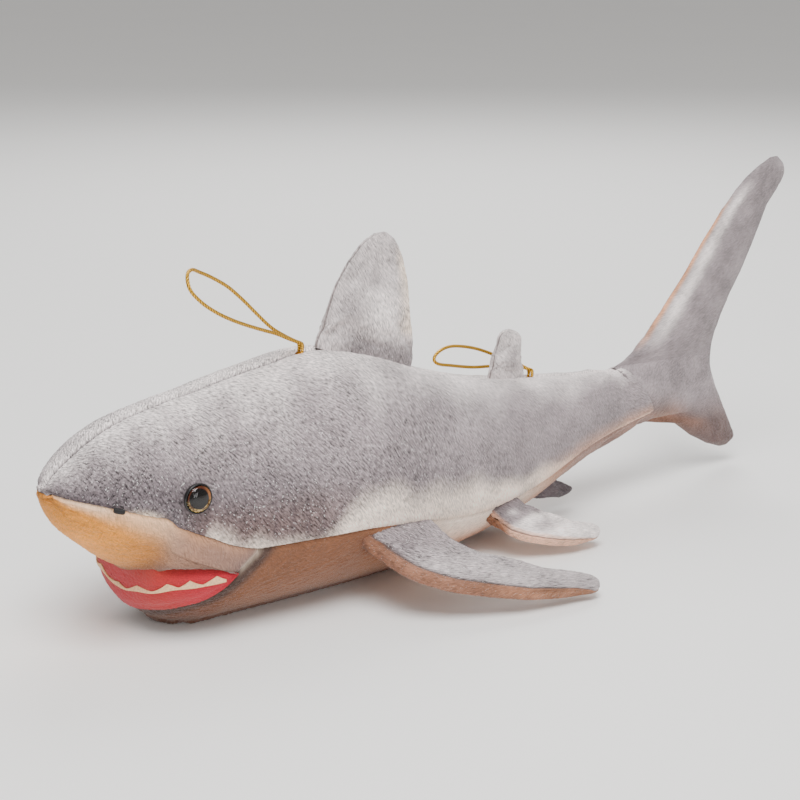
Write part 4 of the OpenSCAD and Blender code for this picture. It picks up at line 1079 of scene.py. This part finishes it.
def caudal_half(side, name, nodes, slot_name):
    """One panel of the tail fin: rows from the lower tip to the upper tip, each from its front edge, or the
    tail's slanted end, to its rear edge; as thick as the tail where it joins, thinning to the fin."""
    rows = np.concatenate([np.linspace(0, 0.15, 50)[:-1], np.linspace(0.15, 0.42, 90)[:-1],
                           np.linspace(0.42, 1, 130)])
    h, x = np.meshgrid(rows, (1 - np.cos(np.pi * np.linspace(0, 1, 90))) / 2, indexing="ij")
    r = row_at(CAUDAL, h)
    base = TOTAL_LEN / 2 - ROOT_TOP[0]
    low = ROOT_LOW[2] - 0.169 * CAUDAL_H
    z = low + h * CAUDAL_H
    share = np.clip((z - ROOT_LOW[2]) / (ROOT_TOP[2] - ROOT_LOW[2]), 0, 1)
    chord_x = ROOT_LOW[0] + (ROOT_TOP[0] - ROOT_LOW[0]) * share
    edge = ROOT_TOP[0] + r[..., 1] * base
    beyond = np.maximum(z - ROOT_TOP[2], ROOT_LOW[2] - z)
    tucked = 6 * ease((4 - beyond) / 4)
    front = chord_x - tucked + (edge - chord_x) * ease(beyond / 9)
    rear = ROOT_TOP[0] + r[..., 2] * base
    along = front + (rear - front) * x
    tail_w = section(np.array(float(LAST)))[5] * np.sqrt(np.clip(1 - (2 * share - 1) ** 2, 0, 1))
    joined = (1 - ease((along - chord_x) / 52)) * ease(1 - beyond / 20)
    joined = joined * np.sqrt(np.clip((rear - along) / (rear - front), 0, 1))
    blade = r[..., 3] * CAUDAL_T / 2 * np.sqrt(np.clip(1 - (2 * x - 1) ** 2, 0, 1))
    inner = r[..., 3] * CAUDAL_T / 2 * np.sqrt(np.clip(1 - x**2, 0, 1))
    zone = ease(1 - beyond / 20)
    t = (blade * (1 - zone) + inner * zone) * (1 - joined) + tail_w * joined
    from_edge = np.clip((along - front) / 7, 0, 1)
    t = t * np.where(beyond > 0, np.sqrt(1 - (1 - from_edge) ** 2), 1)
    t = t * (1 - 0.08 * ease((chord_x + 2 - along) / 4))
    t = np.maximum(t, 0.05)
    tips = np.sqrt(np.clip(np.minimum(h, 1 - h) / 0.03, 0, 1))
    t = t * (0.25 + 0.75 * tips)
    p = np.stack([along, -side * t, z], -1)
    n = normals(p)
    n = n * np.sign((n[..., 1] * -side).mean())
    p = p + n * (0.14 * pile_relief(h.shape, 40 + side) * np.clip(t / 3, 0, 1))[..., None]
    c = flat(GREY, h.shape)
    c = layered(c, [
        (PALE, 0.85 * spot(x, 0.13, 0.09) * ease((h - 0.4) / 0.1) * ease((0.95 - h) / 0.1)),
        (PEACH_AND_REFLECTION, 0.8 * ease((0.06 - x) / 0.05) * ease((h - 0.4) / 0.1) * ease((0.9 - h) / 0.1)),
        # Brown over the lower lobe and tan along the root's lower end are painted shade
        ("#5A4038", 0.75 * ease((0.24 - h) / 0.14)),
        (SHADE_TAN, 0.7 * spot(h, 0.17, 0.06) * ease((0.62 - x) / 0.4))])
    obj = make_mesh(name, p, grid_faces(*h.shape),
                    {"base_colour": with_alpha(c, 0.12), "pile": combed(p, 60)}, flip=side < 0)
    finish_piece(obj, velboa("velboa_fin", 0.016, 0.22), None, slot_name, nodes)
    across = unit(np.array([ROOT_TOP[2] - ROOT_LOW[2], 0, ROOT_LOW[0] - ROOT_TOP[0]]))
    middle = (ROOT_TOP + ROOT_LOW) / 2
    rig.blend(obj, "tail", "caudal_fin", start=tuple(middle * MM), end=tuple((middle + across * 28) * MM))
    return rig.padded(obj, fill=0.75)


# ---------------------------------------------------------------- eyes, nostrils, cords

def turned(name, profile, centre, mirror, turns=96, attributes=None):
    """A closed solid: a profile of (radius, height) pairs, from pole to pole, turned about the eye's axis,
    which points out of the side of the head. Each pole is one point with a fan of triangles."""
    a = np.arange(turns) * 2 * np.pi / turns
    r, h = np.array(profile, float).T
    p = centre + np.stack([r[1:-1, None] * np.cos(a), -h[1:-1, None] + 0 * a, r[1:-1, None] * np.sin(a)], -1)
    poles = centre + np.array([[0, -h[0], 0], [0, -h[-1], 0]])
    n, m = p.shape[:2]
    j = np.arange(m)
    fans = [np.stack([np.full(m, n * m), (j + 1) % m, j], -1),
            np.stack([np.full(m, n * m + 1), (n - 1) * m + j, (n - 1) * m + (j + 1) % m], -1)]
    points = np.concatenate([p.reshape(-1, 3), poles])
    if mirror:
        points = points * [1, -1, 1]
    return make_mesh(name, points, [grid_faces(n, m, True), *fans], attributes, flip=not mirror)


EYE_R = 8.0
PRINT_R = 7.1


def eye(side_name):
    """Safety eye: black moulded rim and shank, printed iris under it, and a clear acrylic dome."""
    mirror = side_name == "right"
    lo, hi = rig.box("left_eye_shell")
    centre = np.array([(lo.x + hi.x) / 2, lo.y, (lo.z + hi.z) / 2]) / MM
    shell = [(0, 0.35), (PRINT_R - 0.1, 0.35), (PRINT_R + 0.05, 0.9), (EYE_R - 0.45, 1.35),
             (EYE_R - 0.05, 1.15), (EYE_R + 0.1, 0.5), (EYE_R + 0.1, -0.5), (EYE_R - 0.3, -1.2),
             (2, -1.3), (2, -12), (0, -12)]
    rim = turned(f"{side_name}_eye_rim", shell, centre, mirror)
    finish_piece(rim, fibres("moulded_black", "#0B0909", 400, 0.22, 0.02), "torso", "eye_black",
                 [f"{side_name}_eye_shell"])
    radii = np.linspace(0, PRINT_R - 0.15, 60)
    turns = 144
    a = np.arange(turns) * 2 * np.pi / turns
    rr, aa = np.meshgrid(radii[1:] / radii[-1], a, indexing="ij")
    x, z = rr * np.cos(aa), rr * np.sin(aa)
    pupil = ease((0.78 - np.hypot(x + 0.13, z - 0.10)) / 0.03)
    low = ease((0.10 - z) / 0.35)
    c = flat("#6E3418", rr.shape)
    c = layered(c, [
        ("#C07A3A", ease((x - 0.3) / 0.5)),
        ("#7A4E14", low),
        ("#0C0503", np.maximum(pupil, ease((rr - 0.965) / 0.02)))])
    base_colour, glow = with_alpha(c, 1.0).reshape(-1, 4), (low * (1 - pupil)).reshape(-1)
    base_colour = np.concatenate([base_colour, base_colour[-turns:], base_colour[:1], base_colour[:1]])
    glow = np.concatenate([glow, glow[-turns:], [0, 0]])
    # The dome magnifies the print, so that it fills the eye from every side: it is drawn raised to match
    profile = [(r, 0.5 + 3.3 * math.sqrt(1 - (r / PRINT_R) ** 2)) for r in radii]
    profile += [(radii[-1], 0.45), (0, 0.45)]
    iris = turned(f"{side_name}_eye_print", profile, centre, mirror, turns, {"base_colour": base_colour, "glitter": glow})
    finish_piece(iris, glitter_iris("printed_iris"), "torso", "eye_iris", [f"{side_name}_eye_iris"])
    t = np.linspace(0, 1, 28) * math.pi / 2
    dome = [((PRINT_R + 0.05) * math.sin(x), 0.6 + 3.9 * math.cos(x)) for x in t]
    dome += [(PRINT_R, 0.4), (0, 0.4)]
    lens = turned(f"{side_name}_eye_lens", dome, centre, mirror)
    return finish_piece(lens, clear_dome("clear_acrylic"), "torso", "eye_clear", [f"{side_name}_eye_dome"])


def nostril(side_name):
    """Satin-stitch bar on the snout seam: a rounded bar ribbed across by each turn of the thread."""
    mirror = side_name == "right"
    p0, p1 = skin(3.98, seam(3.98) - 1.5), skin(4.42, seam(4.42) - 1.5)
    t, w = np.meshgrid(np.linspace(0, 1, 60), np.arange(16) / 16, indexing="ij")
    out = unit(np.array([-0.35, -1, 0.1]))
    axis = unit(p1 - p0)
    up = unit(np.cross(axis, out))
    fat = np.sqrt(np.clip(1 - (2 * t - 1) ** 6, 0, 1)) * (1 + 0.08 * np.sin(t * 2 * np.pi * 14))
    p = (p0 + (p1 - p0) * t[..., None] + out * (1.1 * np.cos(2 * np.pi * w) * fat + 0.3)[..., None]
         + up * (1.5 * np.sin(2 * np.pi * w) * fat)[..., None])
    if mirror:
        p = p * [1, -1, 1]
    obj = make_mesh(f"{side_name}_nostril_stitch", p, grid_faces(*t.shape, True), flip=mirror)
    return finish_piece(obj, fibres("black_rayon_thread", "#120E0F", 1500, 0.5, 0.1), "torso", "black_thread",
                        [f"{side_name}_nostril"])


def loop(route, name, body, node):
    """Gold cord: a ring of 12 points carried along a smooth curve through the route's points."""
    points = route + [NOSE_X, 0, 0]
    path = curve(points, np.linspace(0, len(points) - 1, (len(points) - 1) * 8 + 1))
    tangent = unit(np.gradient(path, axis=0))
    side = unit(np.cross(tangent, [0, 1, 0]))
    other = np.cross(side, tangent)
    a = np.arange(12) * 2 * np.pi / 12
    ring = side[:, None] * np.cos(a)[None, :, None] + other[:, None] * np.sin(a)[None, :, None]
    p = path[:, None] + ring * look().cord_radius / MM
    arc = arc_length(path, 0)
    lay = np.stack([arc[:, None] + 0 * a, 0 * arc[:, None] + a, 0 * arc[:, None] * a], -1) * MM
    ends = np.array([path[0], path[-1]])
    n, m = p.shape[:2]
    j = np.arange(m)
    caps = [np.stack([np.full(m, n * m), j, (j + 1) % m], -1),
            np.stack([np.full(m, n * m + 1), (n - 1) * m + (j + 1) % m, (n - 1) * m + j], -1)]
    tube = grid_faces(n, m, True)[:, ::-1]
    obj = make_mesh(name, np.concatenate([p.reshape(-1, 3), ends]), [tube, *caps],
                    {"pile": np.concatenate([lay.reshape(-1, 3), [[0, 0, 0], [0, 0, 0]]])})
    finish_piece(obj, gold_thread("gold_thread"), body, "gold_cord", [node])
    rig.cord(obj, exit=tuple(path[0] * MM), length=round(float(arc[-1] * MM), 3), diameter=0.002,
            far_end="object", stiffness="limp", lay="loose", path=(path * MM).tolist())
    return obj


def knot(route, name, node):
    """The knot under the seam, a ball, and its two strands: tubes from the knot up to the loop's ends."""
    lo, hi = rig.box(node)
    middle = np.array([(lo.x + hi.x) / 2, 0, lo.z]) / MM + [0, 0, 3.5]
    i, a = np.meshgrid(np.linspace(0, math.pi, 16), np.arange(20) * 2 * np.pi / 20, indexing="ij")
    lumps = 3.3 * (1 + 0.06 * np.sin(3 * a + 2 * i))
    round_axis = [lumps * np.sin(i) * np.cos(a), lumps * np.sin(i) * np.sin(a)]
    ball = middle + np.stack([*round_axis, -3.3 * np.cos(i)], -1)
    points, faces = [ball.reshape(-1, 3)], [grid_faces(*i.shape, True)]
    lay, count = [np.zeros((i.size, 3))], i.size
    for end in (route[0] + [NOSE_X, 0, 0], route[-1] + [NOSE_X, 0, 0]):
        along = route[1] - route[0]
        t = np.linspace(0, 1, 12)[:, None]
        foot = np.array([middle[0], end[1], middle[2]])
        lead = end - along / np.linalg.norm(along) * 2.2
        path = (1 - t) ** 2 * foot + 2 * t * (1 - t) * lead + t ** 2 * end
        turn = np.arange(10) * 2 * np.pi / 10
        ring = np.stack([np.cos(turn), np.sin(turn), 0.6 * np.cos(turn)], -1)
        tube = path[:, None] + 0.97 * look().cord_radius / MM * ring[None]
        points.append(tube.reshape(-1, 3))
        faces.append(grid_faces(12, 10, True) + count)
        lay.append(np.stack(np.broadcast_arrays(t * 12 * MM, turn[None] * MM, 0 * t), -1).reshape(-1, 3))
        count += 120
    obj = make_mesh(name, np.concatenate(points), faces, {"pile": np.concatenate(lay)})
    return finish_piece(obj, gold_thread("gold_thread"), "torso", "gold_cord", [node])


# ---------------------------------------------------------------- settings, operators and panel

def colour_setting(name, text, description):
    """A colour setting, given as sRGB hex and kept linear."""
    return bpy.props.FloatVectorProperty(name=name, description=description, subtype="COLOR", size=3,
                                         min=0, max=1, default=linear(text)[:3])


class SharkLook(bpy.types.PropertyGroup):
    """Sizes and colours that a user would change."""
    floor_size: bpy.props.FloatProperty(name="Floor", description="Width of the floor", default=16.0,
                                        unit="LENGTH")
    pile_height: bpy.props.FloatProperty(name="Pile", description="Height of the combed tufts",
                                         default=0.00016, unit="LENGTH")
    cord_radius: bpy.props.FloatProperty(name="Cord", description="Radius of the gold cord", default=0.001,
                                         unit="LENGTH")
    lens: bpy.props.FloatProperty(name="Lens", description="Focal length of the camera in mm", default=81.0)
    key_power: bpy.props.FloatProperty(name="Key light", description="Power of the main light in W",
                                       default=42.0)
    grey: colour_setting("Grey", GREY, "Colour of the back and fins")
    cream: colour_setting("Cream", PALE_CREAM, "Colour of the lower border and the belly")
    lining: colour_setting("Lining", LINING, "Colour of the mouth lining")
    gold: colour_setting("Gold", GOLD, "Colour of the cord's thread")


def look():
    """The settings of the scene."""
    return bpy.context.scene.shark_look


def shade(text):
    """Linear colour of an sRGB hex, or of the setting that stands for it."""
    chosen = {GREY: "grey", PALE_CREAM: "cream", LINING: "lining", GOLD: "gold"}.get(text)
    return (*getattr(look(), chosen), 1.0) if chosen else linear(text)


class SHARK_OT_stage(bpy.types.Operator):
    """Makes the floor, the lights and the camera"""
    bl_idname = "shark.stage"
    bl_label = "Stage"

    def execute(self, context):
        half = look().floor_size / 2
        mesh = bpy.data.meshes.new("floor")
        mesh.from_pydata([(-half, -half, 0), (half, -half, 0), (half, half, 0), (-half, half, 0)], [],
                         [(0, 1, 2, 3)])
        floor = bpy.data.objects.new("floor", mesh)
        context.scene.collection.objects.link(floor)
        floor.data.materials.append(fibres("pale_floor", "#F7F6F4", 3, 0.9, 0.01, 0.995, 1.005))
        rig.stage(floor)
        world = bpy.data.worlds.new("soft_room")
        world.use_nodes = True
        world.node_tree.nodes["Background"].inputs[0].default_value = (1.0, 0.985, 0.97, 1)
        world.node_tree.nodes["Background"].inputs[1].default_value = 0.5
        context.scene.world = world
        for name, place, size, power in (("key", (-0.5, -0.6, 1.7), 1.1, look().key_power),
                                         ("back", (0.9, 1.1, 1.3), 1.2, look().key_power * 0.5),
                                         ("front", (-0.4, -1.9, 0.7), 1.0, look().key_power * 0.22)):
            light = bpy.data.lights.new(name, "AREA")
            light.size, light.energy = size, power
            lamp = bpy.data.objects.new(name, light)
            lamp.location = place
            lamp.rotation_euler = (Vector((0, 0, 0.06)) - Vector(place)).to_track_quat("-Z", "Y").to_euler()
            context.scene.collection.objects.link(lamp)
        cam = bpy.data.cameras.new("camera")
        cam.lens, cam.sensor_width = look().lens, 36.0
        camera = bpy.data.objects.new("camera", cam)
        camera.location = (-0.6671, -0.7930, 0.3825)
        camera.rotation_euler = (math.radians(90 - 16), 0, math.radians(-38))
        context.scene.collection.objects.link(camera)
        context.scene.camera = camera
        return {"FINISHED"}


class SHARK_OT_cords(bpy.types.Operator):
    """Makes both gold hanging loops"""
    bl_idname = "shark.cords"
    bl_label = "Hanging loops"

    def execute(self, context):
        loop(FRONT_ROUTE, "front_hanging_loop", "front_loop", "front_loop")
        loop(REAR_ROUTE, "rear_hanging_loop", "rear_loop", "rear_loop")
        knot(FRONT_ROUTE, "front_cord_knot", "front_knot")
        knot(REAR_ROUTE, "rear_cord_knot", "rear_knot")
        return {"FINISHED"}


class SHARK_OT_skin(bpy.types.Operator):
    """Makes the side, snout and belly panels"""
    bl_idname = "shark.skin"
    bl_label = "Body panels"

    def execute(self, context):
        grey = velboa("velboa_grey", 0.022, 0.16)
        cream = velboa("velboa_cream", 0.03, 0.08)
        for side, name in ((1, "left"), (-1, "right")):
            obj = finish_piece(side_panel(side, f"{name}_side_skin", 1 if side > 0 else 2), grey, None,
                               "grey_plush", [f"{name}_side_panel", f"tail_{name}_panel"])
            body_blend(obj)
            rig.padded(obj, fill=0.85)
        snout = finish_piece(snout_panel(), cream, "torso", "cream_plush", ["snout_panel", "body_stuffing"])
        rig.padded(snout, fill=0.85)
        belly = finish_piece(belly_panel(), cream, None, "cream_plush",
                             ["belly_panel", "tail_lower_panel", "tail_stuffing"])
        body_blend(belly)
        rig.padded(belly, fill=0.85)
        return {"FINISHED"}


class SHARK_OT_mouth(bpy.types.Operator):
    """Makes the pink lining and the felt teeth"""
    bl_idname = "shark.mouth"
    bl_label = "Mouth and teeth"

    def execute(self, context):
        mouth_lining("mouth_palate_lining", -0.04, TOOTH_LINE, ["mouth_palate"])
        mouth_lining("mouth_floor_lining", TOOTH_LINE, 1.03, ["mouth_floor"])
        teeth()
        return {"FINISHED"}


class SHARK_OT_face(bpy.types.Operator):
    """Makes the safety eyes and the stitched nostrils"""
    bl_idname = "shark.face"
    bl_label = "Eyes and nostrils"

    def execute(self, context):
        for side in ("left", "right"):
            eye(side)
            nostril(side)
            washer = frame["nodes"][f"{side}_eye_washer"]
            washer.data.materials.clear()
            washer.data.materials.append(fibres("moulded_washer", "#E4E4DF", 300, 0.45, 0.02))
        return {"FINISHED"}


class SHARK_OT_fins(bpy.types.Operator):
    """Makes the dorsal, anal, pectoral and pelvic fins"""
    bl_idname = "shark.fins"
    bl_label = "Fins"

    def execute(self, context):
        for kind in ("first_dorsal", "second_dorsal", "anal"):
            for first, side in ((True, "right" if kind != "anal" else "left"),
                                (False, "left" if kind != "anal" else "right")):
                nodes = [f"{kind}_{side}_panel"] + ([f"{kind}_stuffing"] if first else [])
                fin_half_panel(kind, f"{kind}_{side}_skin", first, False, f"{kind}_fin", nodes, "grey_plush")
        for kind in ("pectoral", "pelvic"):
            for side in ("left", "right"):
                for first, face in ((True, "upper"), (False, "lower")):
                    nodes = [f"{side}_{kind}_{face}_panel"] + ([f"{side}_{kind}_stuffing"] if first else [])
                    fin_half_panel(kind, f"{side}_{kind}_{face}_skin", first, side == "right",
                                   f"{side}_{kind}_fin", nodes, "grey_plush" if first else "cream_plush")
        caudal_half(1, "caudal_left_skin", ["caudal_left_panel", "caudal_stuffing"], "grey_plush")
        caudal_half(-1, "caudal_right_skin", ["caudal_right_panel"], "grey_plush")
        return {"FINISHED"}


class SHARK_PT_panel(bpy.types.Panel):
    """Lists the pieces in the sidebar"""
    bl_label = "Plush shark"
    bl_space_type = "VIEW_3D"
    bl_region_type = "UI"
    bl_category = "Shark"

    def draw(self, context):
        for name in SharkLook.__annotations__:
            self.layout.prop(context.scene.shark_look, name)
        for operator in OPERATORS:
            self.layout.operator(operator.bl_idname)


OPERATORS = (SHARK_OT_stage, SHARK_OT_cords, SHARK_OT_skin, SHARK_OT_mouth, SHARK_OT_face, SHARK_OT_fins)
CLASSES = (SharkLook, *OPERATORS, SHARK_PT_panel)


def register():
    """Registers the classes and the settings."""
    for cls in CLASSES:
        bpy.utils.register_class(cls)
    bpy.types.Scene.shark_look = bpy.props.PointerProperty(type=SharkLook)


def unregister():
    """Removes the settings and the classes."""
    del bpy.types.Scene.shark_look
    for cls in reversed(CLASSES):
        bpy.utils.unregister_class(cls)


def main():
    """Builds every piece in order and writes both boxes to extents.json."""
    register()
    for operator in (bpy.ops.shark.stage, bpy.ops.shark.cords, bpy.ops.shark.skin, bpy.ops.shark.mouth,
                     bpy.ops.shark.face, bpy.ops.shark.fins):
        operator()
    with open("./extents.json", "w") as f:
        json.dump({"cad": [list(c) for c in CAD_BOX], "visual": [list(c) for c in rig.bounds()]}, f)


if __name__ == "__main__":
    main()
